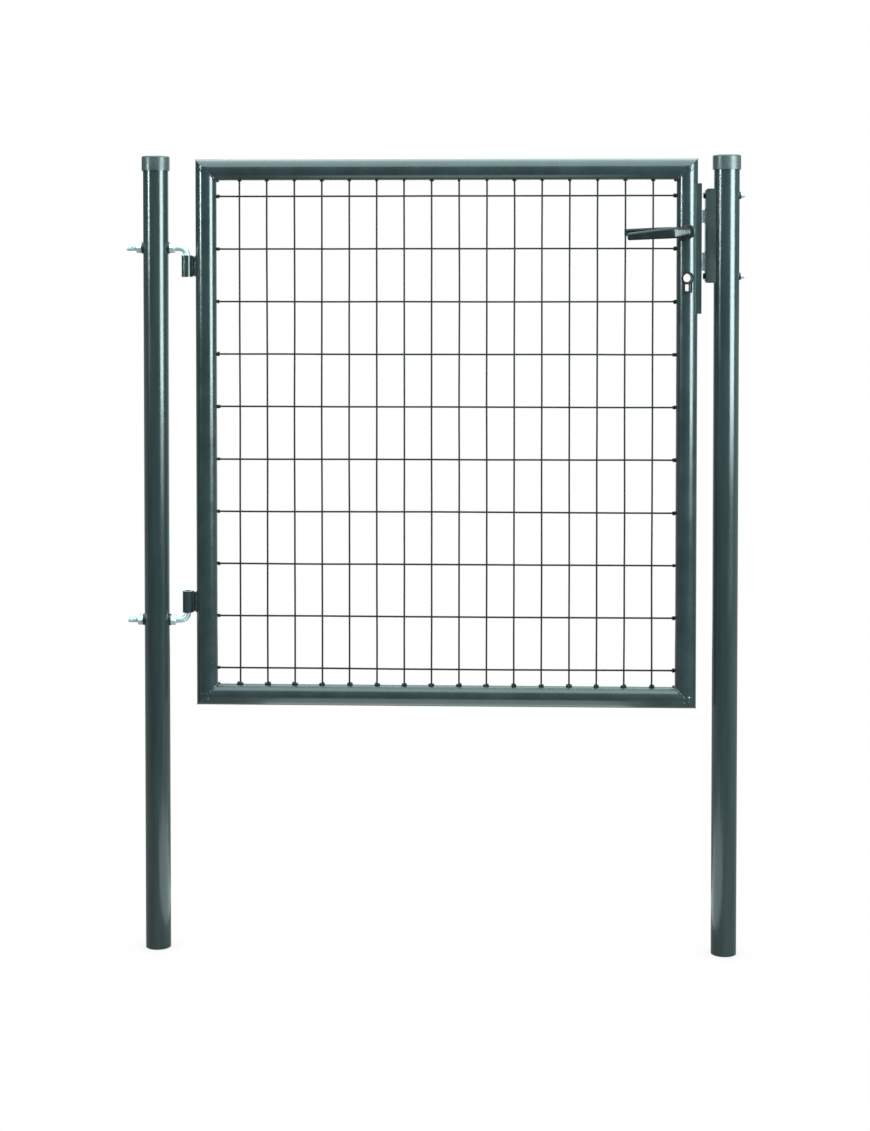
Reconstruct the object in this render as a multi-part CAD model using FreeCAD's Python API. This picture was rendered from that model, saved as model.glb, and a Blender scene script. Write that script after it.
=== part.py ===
import FreeCAD, Part
import math
import os

# A single garden gate: a welded tube leaf with a wire grid, hung on two J-bolt hinges
# between two round posts, with a mortice lock in the lock stile and a keep on the latch post.
# Millimetres. The origin is the centre of the hinge post's foot: +X runs to the latch post,
# +Z is up, and the front of the gate faces -Y.

# posts and their caps
POST_D = 48.0
POST_WALL = 2.0
POST_LENGTH = 1510.0
CAP_WALL = 2.5
CAP_TOP = 4.5
CAP_SKIRT = 23.0
CAP_CLEAR = 0.1
CAP_ROUND = 3.5

# cutting tools reach this far past the faces they cut
CUT_MARGIN = 1.0

# leaf
LEAF_WIDTH = 950.0
LEAF_HEIGHT = 1040.0
LEAF_BOTTOM = 468.0
LEAF_TUBE_D = 40.0
LEAF_TUBE_WALL = 1.5
HINGE_GAP = 52.0
LATCH_GAP = 30.0

# wire grid
WIRE_D = 3.5
WIRE_CROSSING_GAP = 0.02
VERTICAL_WIRES = 16
HORIZONTAL_WIRES = 10
GRID_SIDE_MARGIN = 44.0
GRID_TOP_MARGIN = 29.5
GRID_ROW_PITCH = 100.0

# hinges
HINGE_OFFSET = 35.0
UPPER_HINGE_INSET = 167.5
LOWER_HINGE_INSET = 162.5
BOLT_D = 12.0
BOLT_HOLE_CLEAR = 0.25
BOLT_TAIL = 31.0
BOLT_CHAMFER = 1.2
BEND_RADIUS = 14.0
PIN_LENGTH = 36.0
EYE_D = 20.0
EYE_LENGTH = 41.0
EYE_RUNNING_CLEAR = 0.08
EYE_SEAT_GAP = 0.3
WEB_THICKNESS = 6.0
WEB_SHORTER = 5.0
NUT_ACROSS_FLATS = 19.0
NUT_THICKNESS = 10.0
NUT_THREAD_CLEAR = 0.05
SADDLE_D = 22.0
SADDLE_THICKNESS = 2.5

# keep on the latch post
KEEP_STANDOFF = 14.0
KEEP_WIDTH = 28.0
KEEP_WALL = 2.0
KEEP_BELOW_LEAF_TOP = 57.0
KEEP_LENGTH = 177.0
KEEP_CORNER = 5.0
KEEP_BEND = 2.5
KEEP_BOLT_INSET = 12.5
KEEP_BOLT_D = 6.0
KEEP_HEAD_ACROSS_FLATS = 10.0
KEEP_HEAD_THICKNESS = 4.0
KEEP_NUT_THICKNESS = 5.0
KEEP_SADDLE_D = 14.0
KEEP_SADDLE_THICKNESS = 2.5
KEEP_BOLT_STICKOUT = 3.0
SLOT_SIDE_CLEAR = 2.5
SLOT_END_CLEAR = 3.0

# lock
SPINDLE_BELOW_LEAF_TOP = 138.0
SPINDLE_TO_CYLINDER = 87.0
FACEPLATE_ABOVE_SPINDLE = 91.0
FACEPLATE_LENGTH = 245.0
FACEPLATE_WIDTH = 24.0
FACEPLATE_THICKNESS = 3.0
SEAT_PROUD = 3.5
FACEPLATE_SCREW_INSET = 6.5
FACEPLATE_SCREW_D = 4.0
FACEPLATE_SCREW_LENGTH = 12.0
COUNTERSINK_DEPTH = 2.0
CASE_BACKSET = 14.5
CASE_BOLT_CLEAR = 0.5
CASE_WALL = 1.5
CASE_END_INSET = 13.0
CASE_SLOT_CLEAR = 0.3
RIVET_D = 5.0
RIVET_INSET = 10.5

# latch bolt and dead bolt
BOLT_THICKNESS = 11.0
BOLT_GUIDE_CLEAR = 0.3
BOLT_THROW = 14.0
LATCH_HEIGHT = 24.0
LATCH_ABOVE_SPINDLE = 29.0
LATCH_HEAD_BACK = 11.0
LATCH_TAIL_THICKNESS = 3.0
LATCH_LEG_WIDTH = 2.5
LATCH_LEG_GAP = 0.3
LATCH_LEG_ABOVE_DRUM = 2.0
LATCH_BEVEL_START = 1.0
DEAD_BOLT_HEIGHT = 34.0
DEAD_BOLT_ABOVE_CYLINDER = 31.0
DEAD_BOLT_HEAD_BACK = 9.0
DEAD_BOLT_TAIL = 7.0
DEAD_BOLT_TAIL_THICKNESS = 5.0
CAM_NOTCH_R = 5.0
DETENT_THICKNESS = 0.8
DETENT_GAP = 0.4

# follower, springs, spindle and levers
SPINDLE_SIDE = 8.0
SPINDLE_CLEAR = 0.1
SPINDLE_REACH = 31.0
FOLLOWER_D = 20.0
FOLLOWER_BOSS_D = 15.0
FOLLOWER_ARM_REACH = 17.0
FOLLOWER_ARM_WIDTH = 5.0
FOLLOWER_ARM_LEAN = 20.0
FOLLOWER_ARM_THICKNESS = 6.0
FOLLOWER_FOOT_REACH = 14.0
RUNNING_CLEAR = 0.06
SPRING_WIRE = 1.0
LATCH_SPRING_D = 8.0
FOLLOWER_SPRING_D = 7.0
BUSH_D = 25.0
BUSH_PROUD = 2.5
NECK_D = 16.0
LEVER_GAP = 0.3
LEVER_REACH = 115.0
LEVER_HUB_D = 26.5
LEVER_HUB_FACE = 28.0
LEVER_STANDOFF = 50.0
LEVER_GRIP_DEPTH = 12.0
LEVER_ROOT_HEIGHT = 23.0
LEVER_TIP_HEIGHT = 13.5
LEVER_ELBOW = 24.0
LEVER_ROUND = 1.5
FRONT_LEVER_DROOP = 5.0
REAR_LEVER_DROOP = 0.0
GRUB_SCREW_D = 5.0
GRUB_SCREW_OUT = 27.0
GRUB_SCREW_INSET = 1.0

# profile-cylinder opening
EURO_ROUND_D = 17.0
EURO_STEM_WIDTH = 10.0
EURO_HEIGHT = 33.0
ESCUTCHEON_RIM = 3.2
ESCUTCHEON_PROUD = 2.0
CYLINDER_SCREW_D = 5.0
CYLINDER_SCREW_BELOW = 9.4
CYLINDER_SCREW_LENGTH = 35.0

# worked out from the sizes above
POST_R = POST_D / 2
TUBE_R = LEAF_TUBE_D / 2
LEAF_LEFT = POST_R + HINGE_GAP
LEAF_RIGHT = LEAF_LEFT + LEAF_WIDTH
LEAF_TOP = LEAF_BOTTOM + LEAF_HEIGHT
LATCH_POST_X = LEAF_RIGHT + LATCH_GAP + POST_R
HINGE_STILE_X = LEAF_LEFT + TUBE_R
LOCK_STILE_X = LEAF_RIGHT - TUBE_R
HINGE_AXIS_X = POST_R + HINGE_OFFSET
UPPER_HINGE_Z = LEAF_TOP - UPPER_HINGE_INSET
LOWER_HINGE_Z = LEAF_BOTTOM + LOWER_HINGE_INSET
SPINDLE_Z = LEAF_TOP - SPINDLE_BELOW_LEAF_TOP
CYLINDER_Z = SPINDLE_Z - SPINDLE_TO_CYLINDER
LATCH_Z = SPINDLE_Z + LATCH_ABOVE_SPINDLE
DEAD_BOLT_Z = CYLINDER_Z + DEAD_BOLT_ABOVE_CYLINDER
FACEPLATE_TOP = SPINDLE_Z + FACEPLATE_ABOVE_SPINDLE
FACEPLATE_BOTTOM = FACEPLATE_TOP - FACEPLATE_LENGTH
FACEPLATE_BACK_X = LEAF_RIGHT + SEAT_PROUD
FACEPLATE_FRONT_X = FACEPLATE_BACK_X + FACEPLATE_THICKNESS
BOLT_NOSE_X = FACEPLATE_FRONT_X + BOLT_THROW
CASE_BACK_X = LOCK_STILE_X - CASE_BACKSET
CASE_INNER_X = CASE_BACK_X + CASE_WALL
CASE_TOP = FACEPLATE_TOP - CASE_END_INSET
CASE_BOTTOM = FACEPLATE_BOTTOM + CASE_END_INSET
CASE_INNER_HALF = BOLT_THICKNESS / 2 + CASE_BOLT_CLEAR
CASE_HALF = CASE_INNER_HALF + CASE_WALL
KEEP_FACE_X = LEAF_RIGHT + KEEP_STANDOFF
KEEP_TOP = LEAF_TOP - KEEP_BELOW_LEAF_TOP
KEEP_BOTTOM = KEEP_TOP - KEEP_LENGTH
KEEP_BOLT_HEIGHTS = (KEEP_TOP - KEEP_BOLT_INSET, KEEP_BOTTOM + KEEP_BOLT_INSET)
FACEPLATE_SCREW_HEIGHTS = (
    FACEPLATE_TOP - FACEPLATE_SCREW_INSET,
    FACEPLATE_BOTTOM + FACEPLATE_SCREW_INSET,
)
CYLINDER_SCREW_Z = CYLINDER_Z - CYLINDER_SCREW_BELOW
BUSH_FACE = TUBE_R + BUSH_PROUD

X_AXIS = FreeCAD.Vector(1, 0, 0)
Y_AXIS = FreeCAD.Vector(0, 1, 0)
Z_AXIS = FreeCAD.Vector(0, 0, 1)
FRONT = -1
REAR = 1


def point(x, y, z):
    return FreeCAD.Vector(x, y, z)


def block(low, high):
    size = [high[i] - low[i] for i in range(3)]
    return Part.makeBox(size[0], size[1], size[2], point(*low))


def rod(diameter, start, along, length):
    return Part.makeCylinder(diameter / 2, length, start, along)


def pipe(outer, inner, start, along, length):
    return rod(outer, start, along, length).cut(rod(inner, start, along, length))


def extruded(corners, depth):
    """A prism on a closed outline of straight sides."""
    outline = Part.makePolygon(corners + [corners[0]])
    return Part.Face(outline).extrude(depth)


def rounded_outline(low_u, low_v, high_u, high_v, radius, place):
    """A rectangle with round corners; place turns (u, v) into a point."""
    centres = (
        (high_u - radius, high_v - radius, 0),
        (low_u + radius, high_v - radius, 90),
        (low_u + radius, low_v + radius, 180),
        (high_u - radius, low_v + radius, 270),
    )
    arcs = []
    for u, v, start in centres:
        turn = [math.radians(start + step) for step in (0, 45, 90)]
        marks = [place(u + radius * math.cos(t), v + radius * math.sin(t)) for t in turn]
        arcs.append(Part.Arc(*marks).toShape())
    edges = []
    for i, arc in enumerate(arcs):
        following = arcs[(i + 1) % len(arcs)]
        edges.append(arc)
        edges.append(Part.makeLine(arc.Vertexes[-1].Point, following.Vertexes[0].Point))
    return Part.Face(Part.Wire(edges))


def hexagon(across_flats, thickness, bore, start_x, z):
    """A nut or a bolt head lying along X with its corners chamfered."""
    corner_r = across_flats / math.sqrt(3)
    turns = [math.radians(60 * i) for i in range(6)]
    corners = [
        point(start_x, corner_r * math.cos(t), z + corner_r * math.sin(t)) for t in turns
    ]
    prism = extruded(corners, X_AXIS * thickness)
    chamfer = (2 * corner_r - across_flats) / 2
    turned = rod(2 * corner_r, point(start_x, 0, z), X_AXIS, thickness)
    turned = turned.makeChamfer(chamfer, [e for e in turned.Edges if len(e.Vertexes) == 1])
    body = prism.common(turned)
    if bore:
        body = body.cut(rod(bore, point(start_x, 0, z), X_AXIS, thickness))
    return body


def saddle(post_x, side, z, diameter, thickness, bore):
    """A washer with one hollow face, which beds on the round of a post."""
    flat_x = post_x + side * (POST_R + thickness)
    disc = rod(diameter, point(flat_x, 0, z), X_AXIS * -side, POST_R)
    disc = disc.cut(rod(POST_D, point(post_x, 0, z - diameter), Z_AXIS, 2 * diameter))
    return disc.cut(rod(bore, point(flat_x, 0, z), X_AXIS * -side, POST_R))


def countersunk(diameter, length, z):
    """A screw that lies flush in the faceplate and runs back along X."""
    head = Part.makeCone(
        diameter, diameter / 2, COUNTERSINK_DEPTH, point(FACEPLATE_FRONT_X, 0, z), X_AXIS * -1
    )
    return head.fuse(rod(diameter, point(FACEPLATE_FRONT_X, 0, z), X_AXIS * -1, length))


def save(name, pieces):
    shape = pieces[0] if len(pieces) == 1 else Part.makeCompound(pieces)
    shape.exportStep("parts/" + name + ".step")


# posts

def hinge_post():
    post = pipe(POST_D, POST_D - 2 * POST_WALL, point(0, 0, 0), Z_AXIS, POST_LENGTH)
    for z in (UPPER_HINGE_Z, LOWER_HINGE_Z):
        hole = BOLT_D + 2 * BOLT_HOLE_CLEAR
        post = post.cut(rod(hole, point(-POST_D, 0, z), X_AXIS, 2 * POST_D))
    return post


def latch_post():
    foot = point(LATCH_POST_X, 0, 0)
    post = pipe(POST_D, POST_D - 2 * POST_WALL, foot, Z_AXIS, POST_LENGTH)
    for z in KEEP_BOLT_HEIGHTS:
        hole = KEEP_BOLT_D + 2 * BOLT_HOLE_CLEAR
        post = post.cut(rod(hole, point(LATCH_POST_X - POST_D, 0, z), X_AXIS, 2 * POST_D))
    return post


def post_cap(x):
    inner = POST_D + 2 * CAP_CLEAR
    outer = inner + 2 * CAP_WALL
    base = point(x, 0, POST_LENGTH - CAP_SKIRT)
    shell = rod(outer, base, Z_AXIS, CAP_SKIRT + CAP_TOP)
    rim = [e for e in shell.Edges if len(e.Vertexes) == 1 and e.CenterOfMass.z > POST_LENGTH]
    shell = shell.makeFillet(CAP_ROUND, rim)
    return shell.cut(rod(inner, base, Z_AXIS, CAP_SKIRT))


# hinges

def hinge_bolt(z, turn):
    """A threaded rod through the post, bent to a pin; turn is -1 for down and 1 for up."""
    start_x = -POST_R - BOLT_TAIL
    bend_x = HINGE_AXIS_X - BEND_RADIUS
    shank = rod(BOLT_D, point(start_x, 0, z), X_AXIS, bend_x - start_x)
    tip = [e for e in shank.Edges if len(e.Vertexes) == 1 and e.CenterOfMass.x < start_x + CUT_MARGIN]
    shank = shank.makeChamfer(BOLT_CHAMFER, tip)
    section = Part.Face(Part.Wire(Part.makeCircle(BOLT_D / 2, point(bend_x, 0, z), X_AXIS)))
    centre = point(bend_x, 0, z + turn * BEND_RADIUS)
    elbow = section.revolve(centre, Y_AXIS * -turn, 90)
    pin = rod(BOLT_D, point(HINGE_AXIS_X, 0, centre.z), Z_AXIS * turn, PIN_LENGTH)
    return shank.fuse([elbow, pin]).removeSplitter()


def hinge_eye(z, turn):
    """The tube on the leaf that turns on the pin."""
    start = point(HINGE_AXIS_X, 0, z + turn * (BEND_RADIUS + EYE_SEAT_GAP))
    bore = BOLT_D + 2 * EYE_RUNNING_CLEAR
    return pipe(EYE_D, bore, start, Z_AXIS * turn, EYE_LENGTH)


def hinge_eye_web(z, turn):
    """The welded plate between an eye and the hinge stile."""
    middle = z + turn * (BEND_RADIUS + EYE_SEAT_GAP + EYE_LENGTH / 2)
    half = (EYE_LENGTH - WEB_SHORTER) / 2
    web = block(
        (HINGE_AXIS_X, -WEB_THICKNESS / 2, middle - half),
        (HINGE_STILE_X, WEB_THICKNESS / 2, middle + half),
    )
    web = web.cut(rod(EYE_D, point(HINGE_AXIS_X, 0, middle - half), Z_AXIS, 2 * half))
    return web.cut(rod(LEAF_TUBE_D, point(HINGE_STILE_X, 0, middle - half), Z_AXIS, 2 * half))


def hinge_nuts():
    bore = BOLT_D + 2 * NUT_THREAD_CLEAR
    seat = POST_R + SADDLE_THICKNESS
    nuts = []
    for z in (UPPER_HINGE_Z, LOWER_HINGE_Z):
        for start_x in (seat, -seat - NUT_THICKNESS):
            nuts.append(hexagon(NUT_ACROSS_FLATS, NUT_THICKNESS, bore, start_x, z))
    return nuts


def hinge_saddles():
    bore = BOLT_D + 2 * BOLT_HOLE_CLEAR
    return [
        saddle(0, side, z, SADDLE_D, SADDLE_THICKNESS, bore)
        for z in (UPPER_HINGE_Z, LOWER_HINGE_Z)
        for side in (-1, 1)
    ]


# keep

def keep_channel():
    half = KEEP_WIDTH / 2
    flange_inner = half - KEEP_WALL
    edge_x = LATCH_POST_X - math.sqrt(POST_R**2 - flange_inner**2)
    plan = rounded_outline(
        KEEP_FACE_X, -half, edge_x + 2 * KEEP_BEND, half, KEEP_BEND,
        lambda u, v: point(u, v, KEEP_BOTTOM),
    ).extrude(Z_AXIS * KEEP_LENGTH)
    side = rounded_outline(
        KEEP_FACE_X, KEEP_BOTTOM, edge_x + 2 * KEEP_CORNER, KEEP_TOP, KEEP_CORNER,
        lambda u, v: point(u, -half, v),
    ).extrude(Y_AXIS * KEEP_WIDTH)
    channel = plan.common(side)
    channel = channel.cut(block(
        (edge_x, -KEEP_WIDTH, KEEP_BOTTOM - CUT_MARGIN),
        (edge_x + KEEP_WIDTH, KEEP_WIDTH, KEEP_TOP + CUT_MARGIN),
    ))
    channel = channel.cut(block(
        (KEEP_FACE_X + KEEP_WALL, -flange_inner, KEEP_BOTTOM - CUT_MARGIN),
        (edge_x + CUT_MARGIN, flange_inner, KEEP_TOP + CUT_MARGIN),
    ))
    for z, height in ((LATCH_Z, LATCH_HEIGHT), (DEAD_BOLT_Z, DEAD_BOLT_HEIGHT)):
        half_y = BOLT_THICKNESS / 2 + SLOT_SIDE_CLEAR
        half_z = height / 2 + SLOT_END_CLEAR
        channel = channel.cut(block(
            (KEEP_FACE_X - CUT_MARGIN, -half_y, z - half_z),
            (KEEP_FACE_X + KEEP_WALL + CUT_MARGIN, half_y, z + half_z),
        ))
    for z in KEEP_BOLT_HEIGHTS:
        hole = KEEP_BOLT_D + 2 * BOLT_HOLE_CLEAR
        start = point(KEEP_FACE_X - CUT_MARGIN, 0, z)
        channel = channel.cut(rod(hole, start, X_AXIS, KEEP_WALL + 2 * CUT_MARGIN))
    return channel


def keep_bolt(z):
    outer_x = LATCH_POST_X + POST_R + KEEP_SADDLE_THICKNESS + KEEP_NUT_THICKNESS
    length = outer_x + KEEP_BOLT_STICKOUT - KEEP_FACE_X
    head_x = KEEP_FACE_X - KEEP_HEAD_THICKNESS
    head = hexagon(KEEP_HEAD_ACROSS_FLATS, KEEP_HEAD_THICKNESS, 0, head_x, z)
    return head.fuse(rod(KEEP_BOLT_D, point(KEEP_FACE_X, 0, z), X_AXIS, length))


def keep_nut(z):
    bore = KEEP_BOLT_D + 2 * NUT_THREAD_CLEAR
    start_x = LATCH_POST_X + POST_R + KEEP_SADDLE_THICKNESS
    return hexagon(KEEP_HEAD_ACROSS_FLATS, KEEP_NUT_THICKNESS, bore, start_x, z)


def keep_saddle(z):
    bore = KEEP_BOLT_D + 2 * BOLT_HOLE_CLEAR
    return saddle(LATCH_POST_X, 1, z, KEEP_SADDLE_D, KEEP_SADDLE_THICKNESS, bore)


# leaf frame

def mitred(tube, outer_start, outer_end, inward):
    """Trim a frame tube to its mitres: a trapezium whose long side is the outer edge."""
    along = (outer_end - outer_start).normalize()
    inner_start = outer_start + (along + inward) * LEAF_TUBE_D
    inner_end = outer_end + (inward - along) * LEAF_TUBE_D
    corners = [outer_start, outer_end, inner_end, inner_start]
    shift = Y_AXIS * -LEAF_TUBE_D
    return tube.common(extruded([c + shift for c in corners], Y_AXIS * 2 * LEAF_TUBE_D))


def stile(axis_x, outer_x, inward):
    tube = pipe(
        LEAF_TUBE_D, LEAF_TUBE_D - 2 * LEAF_TUBE_WALL,
        point(axis_x, 0, LEAF_BOTTOM), Z_AXIS, LEAF_HEIGHT,
    )
    low, high = point(outer_x, 0, LEAF_BOTTOM), point(outer_x, 0, LEAF_TOP)
    return mitred(tube, low, high, X_AXIS * inward)


def rail(axis_z, outer_z, inward):
    tube = pipe(
        LEAF_TUBE_D, LEAF_TUBE_D - 2 * LEAF_TUBE_WALL,
        point(LEAF_LEFT, 0, axis_z), X_AXIS, LEAF_WIDTH,
    )
    left, right = point(LEAF_LEFT, 0, outer_z), point(LEAF_RIGHT, 0, outer_z)
    return mitred(tube, left, right, Z_AXIS * inward)


def lock_stile():
    """The stile with its openings for the lock case, the levers and the cylinder."""
    tube = stile(LOCK_STILE_X, LEAF_RIGHT, -1)
    clear = CASE_SLOT_CLEAR
    tube = tube.cut(block(
        (LOCK_STILE_X, -CASE_HALF - clear, CASE_BOTTOM - clear),
        (LEAF_RIGHT + CUT_MARGIN, CASE_HALF + clear, CASE_TOP + clear),
    ))
    across = 2 * LEAF_TUBE_D
    tube = tube.cut(rod(
        NECK_D + 2 * CASE_SLOT_CLEAR,
        point(LOCK_STILE_X, -LEAF_TUBE_D, SPINDLE_Z), Y_AXIS, across,
    ))
    tube = tube.cut(euro_profile(0, -LEAF_TUBE_D, across))
    for z in FACEPLATE_SCREW_HEIGHTS:
        tube = tube.cut(rod(
            FACEPLATE_SCREW_D + 2 * NUT_THREAD_CLEAR,
            point(LOCK_STILE_X, 0, z), X_AXIS, LEAF_TUBE_D,
        ))
    return tube


def vertical_wires():
    low_z = LEAF_BOTTOM + LEAF_TUBE_D
    length = LEAF_HEIGHT - 2 * LEAF_TUBE_D
    first_x = LEAF_LEFT + LEAF_TUBE_D + GRID_SIDE_MARGIN
    last_x = LEAF_RIGHT - LEAF_TUBE_D - GRID_SIDE_MARGIN
    pitch = (last_x - first_x) / (VERTICAL_WIRES - 1)
    y = -(WIRE_D + WIRE_CROSSING_GAP) / 2
    return [
        rod(WIRE_D, point(first_x + i * pitch, y, low_z), Z_AXIS, length)
        for i in range(VERTICAL_WIRES)
    ]


def horizontal_wires():
    start_x = LEAF_LEFT + LEAF_TUBE_D
    length = LEAF_WIDTH - 2 * LEAF_TUBE_D
    top_z = LEAF_TOP - LEAF_TUBE_D - GRID_TOP_MARGIN
    y = (WIRE_D + WIRE_CROSSING_GAP) / 2
    return [
        rod(WIRE_D, point(start_x, y, top_z - i * GRID_ROW_PITCH), X_AXIS, length)
        for i in range(HORIZONTAL_WIRES)
    ]


# lock

def euro_profile(grow, start_y, depth):
    """The opening for a profile cylinder: a round with a narrower stem under it."""
    round_r = EURO_ROUND_D / 2 + grow
    half = EURO_STEM_WIDTH / 2 + grow
    foot_z = CYLINDER_Z + EURO_ROUND_D / 2 - EURO_HEIGHT - grow
    stem = block(
        (LOCK_STILE_X - half, start_y, foot_z), (LOCK_STILE_X + half, start_y + depth, CYLINDER_Z)
    )
    head = rod(2 * round_r, point(LOCK_STILE_X, start_y, CYLINDER_Z), Y_AXIS, depth)
    return head.fuse(stem).removeSplitter()


def through_lock(piece, bore):
    """Cut the follower's bearing and the cylinder's opening through a side of the case."""
    start = point(LOCK_STILE_X, -LEAF_TUBE_D, SPINDLE_Z)
    piece = piece.cut(rod(bore, start, Y_AXIS, 2 * LEAF_TUBE_D))
    return piece.cut(euro_profile(0, -LEAF_TUBE_D, 2 * LEAF_TUBE_D))


def lock_case():
    case = block(
        (CASE_BACK_X, -CASE_INNER_HALF, CASE_BOTTOM), (FACEPLATE_BACK_X, CASE_HALF, CASE_TOP)
    )
    case = case.cut(block(
        (CASE_INNER_X, -CASE_HALF, CASE_BOTTOM + CASE_WALL),
        (FACEPLATE_BACK_X + CUT_MARGIN, CASE_INNER_HALF, CASE_TOP - CASE_WALL),
    ))
    return through_lock(case, FOLLOWER_BOSS_D + 2 * RUNNING_CLEAR)


def case_cover():
    cover = block(
        (CASE_BACK_X, -CASE_HALF, CASE_BOTTOM), (FACEPLATE_BACK_X, -CASE_INNER_HALF, CASE_TOP)
    )
    return through_lock(cover, FOLLOWER_BOSS_D + 2 * RUNNING_CLEAR)


def case_rivets():
    """Pillars that hold the cover to the case, above, between and below the bolts."""
    x = CASE_INNER_X + RIVET_D / 2 + RIVET_INSET / 2
    dead_bolt_top = DEAD_BOLT_Z + DEAD_BOLT_HEIGHT / 2
    follower_foot = SPINDLE_Z - FOLLOWER_FOOT_REACH
    heights = (
        CASE_TOP - RIVET_INSET,
        (dead_bolt_top + follower_foot) / 2,
        CASE_BOTTOM + RIVET_INSET,
    )
    start_y = -CASE_INNER_HALF
    return [rod(RIVET_D, point(x, start_y, z), Y_AXIS, 2 * CASE_INNER_HALF) for z in heights]


def bolt_passage(piece):
    """Cut the guides that the two bolts slide in."""
    half_y = BOLT_THICKNESS / 2 + BOLT_GUIDE_CLEAR
    for z, height in ((LATCH_Z, LATCH_HEIGHT), (DEAD_BOLT_Z, DEAD_BOLT_HEIGHT)):
        half_z = height / 2 + BOLT_GUIDE_CLEAR
        piece = piece.cut(block(
            (FACEPLATE_BACK_X - CUT_MARGIN, -half_y, z - half_z),
            (FACEPLATE_FRONT_X + CUT_MARGIN, half_y, z + half_z),
        ))
    return piece


def faceplate():
    half = FACEPLATE_WIDTH / 2
    plate = block(
        (FACEPLATE_BACK_X, -half, FACEPLATE_BOTTOM), (FACEPLATE_FRONT_X, half, FACEPLATE_TOP)
    )
    plate = bolt_passage(plate)
    for z in FACEPLATE_SCREW_HEIGHTS:
        plate = plate.cut(countersunk(FACEPLATE_SCREW_D, FACEPLATE_SCREW_LENGTH, z))
    return plate.cut(countersunk(CYLINDER_SCREW_D, CYLINDER_SCREW_LENGTH, CYLINDER_SCREW_Z))


def seat_strip():
    """The strip welded to the round of the stile, which gives the faceplate a flat seat."""
    half = FACEPLATE_WIDTH / 2
    strip = block(
        (LOCK_STILE_X, -half, FACEPLATE_BOTTOM), (FACEPLATE_BACK_X, half, FACEPLATE_TOP)
    )
    foot = point(LOCK_STILE_X, 0, FACEPLATE_BOTTOM - CUT_MARGIN)
    strip = strip.cut(rod(LEAF_TUBE_D, foot, Z_AXIS, FACEPLATE_LENGTH + 2 * CUT_MARGIN))
    clear = CASE_SLOT_CLEAR
    strip = strip.cut(block(
        (LOCK_STILE_X, -CASE_HALF - clear, CASE_BOTTOM - clear),
        (FACEPLATE_BACK_X + CUT_MARGIN, CASE_HALF + clear, CASE_TOP + clear),
    ))
    for z in FACEPLATE_SCREW_HEIGHTS:
        strip = strip.cut(rod(
            FACEPLATE_SCREW_D + 2 * NUT_THREAD_CLEAR,
            point(LOCK_STILE_X, 0, z), X_AXIS, LEAF_TUBE_D,
        ))
    return strip


def faceplate_screws():
    length = FACEPLATE_SCREW_LENGTH
    return [countersunk(FACEPLATE_SCREW_D, length, z) for z in FACEPLATE_SCREW_HEIGHTS]


def cylinder_screw():
    return countersunk(CYLINDER_SCREW_D, CYLINDER_SCREW_LENGTH, CYLINDER_SCREW_Z)


def escutcheon(side):
    """A thick plate round the cylinder opening, hollowed to sit on the stile."""
    face = side * (TUBE_R + ESCUTCHEON_PROUD)
    start_y = min(0, face)
    plate = euro_profile(ESCUTCHEON_RIM, start_y, abs(face))
    foot = point(LOCK_STILE_X, 0, CYLINDER_Z - EURO_HEIGHT - LEAF_TUBE_D)
    plate = plate.cut(rod(LEAF_TUBE_D, foot, Z_AXIS, 2 * EURO_HEIGHT + 2 * LEAF_TUBE_D))
    return plate.cut(euro_profile(0, -LEAF_TUBE_D, 2 * LEAF_TUBE_D))


def latch_bolt():
    """The sprung bolt: a bevelled head, a tail above the follower and a leg that it pulls."""
    half_y = BOLT_THICKNESS / 2
    half_z = LATCH_HEIGHT / 2
    back_x = LOCK_STILE_X + LATCH_HEAD_BACK
    head = block((back_x, -half_y, LATCH_Z - half_z), (BOLT_NOSE_X, half_y, LATCH_Z + half_z))
    start_x, past_x = FACEPLATE_FRONT_X + LATCH_BEVEL_START, BOLT_NOSE_X + CUT_MARGIN
    low_z = LATCH_Z - half_z - CUT_MARGIN
    bevel = [
        point(start_x, half_y, low_z),
        point(past_x, -half_y / 2, low_z),
        point(past_x, half_y + CUT_MARGIN, low_z),
        point(start_x, half_y + CUT_MARGIN, low_z),
    ]
    head = head.cut(extruded(bevel, Z_AXIS * (LATCH_HEIGHT + 2 * CUT_MARGIN)))
    lean = math.radians(FOLLOWER_ARM_LEAN)
    drum_top = FOLLOWER_D / 2 + LATCH_LEG_ABOVE_DRUM
    leg_face = LOCK_STILE_X + drum_top * math.tan(lean)
    leg_face -= FOLLOWER_ARM_WIDTH / 2 / math.cos(lean) + LATCH_LEG_GAP
    leg_x = leg_face - LATCH_LEG_WIDTH
    half_t = LATCH_TAIL_THICKNESS / 2
    arm_top = SPINDLE_Z + FOLLOWER_ARM_REACH + FOLLOWER_ARM_WIDTH
    tail = block((leg_x, -half_t, arm_top), (back_x, half_t, arm_top + FOLLOWER_ARM_WIDTH))
    leg = block(
        (leg_x, -half_t, SPINDLE_Z + drum_top), (leg_face, half_t, arm_top + FOLLOWER_ARM_WIDTH)
    )
    return head.fuse([tail, leg]).removeSplitter()


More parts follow.
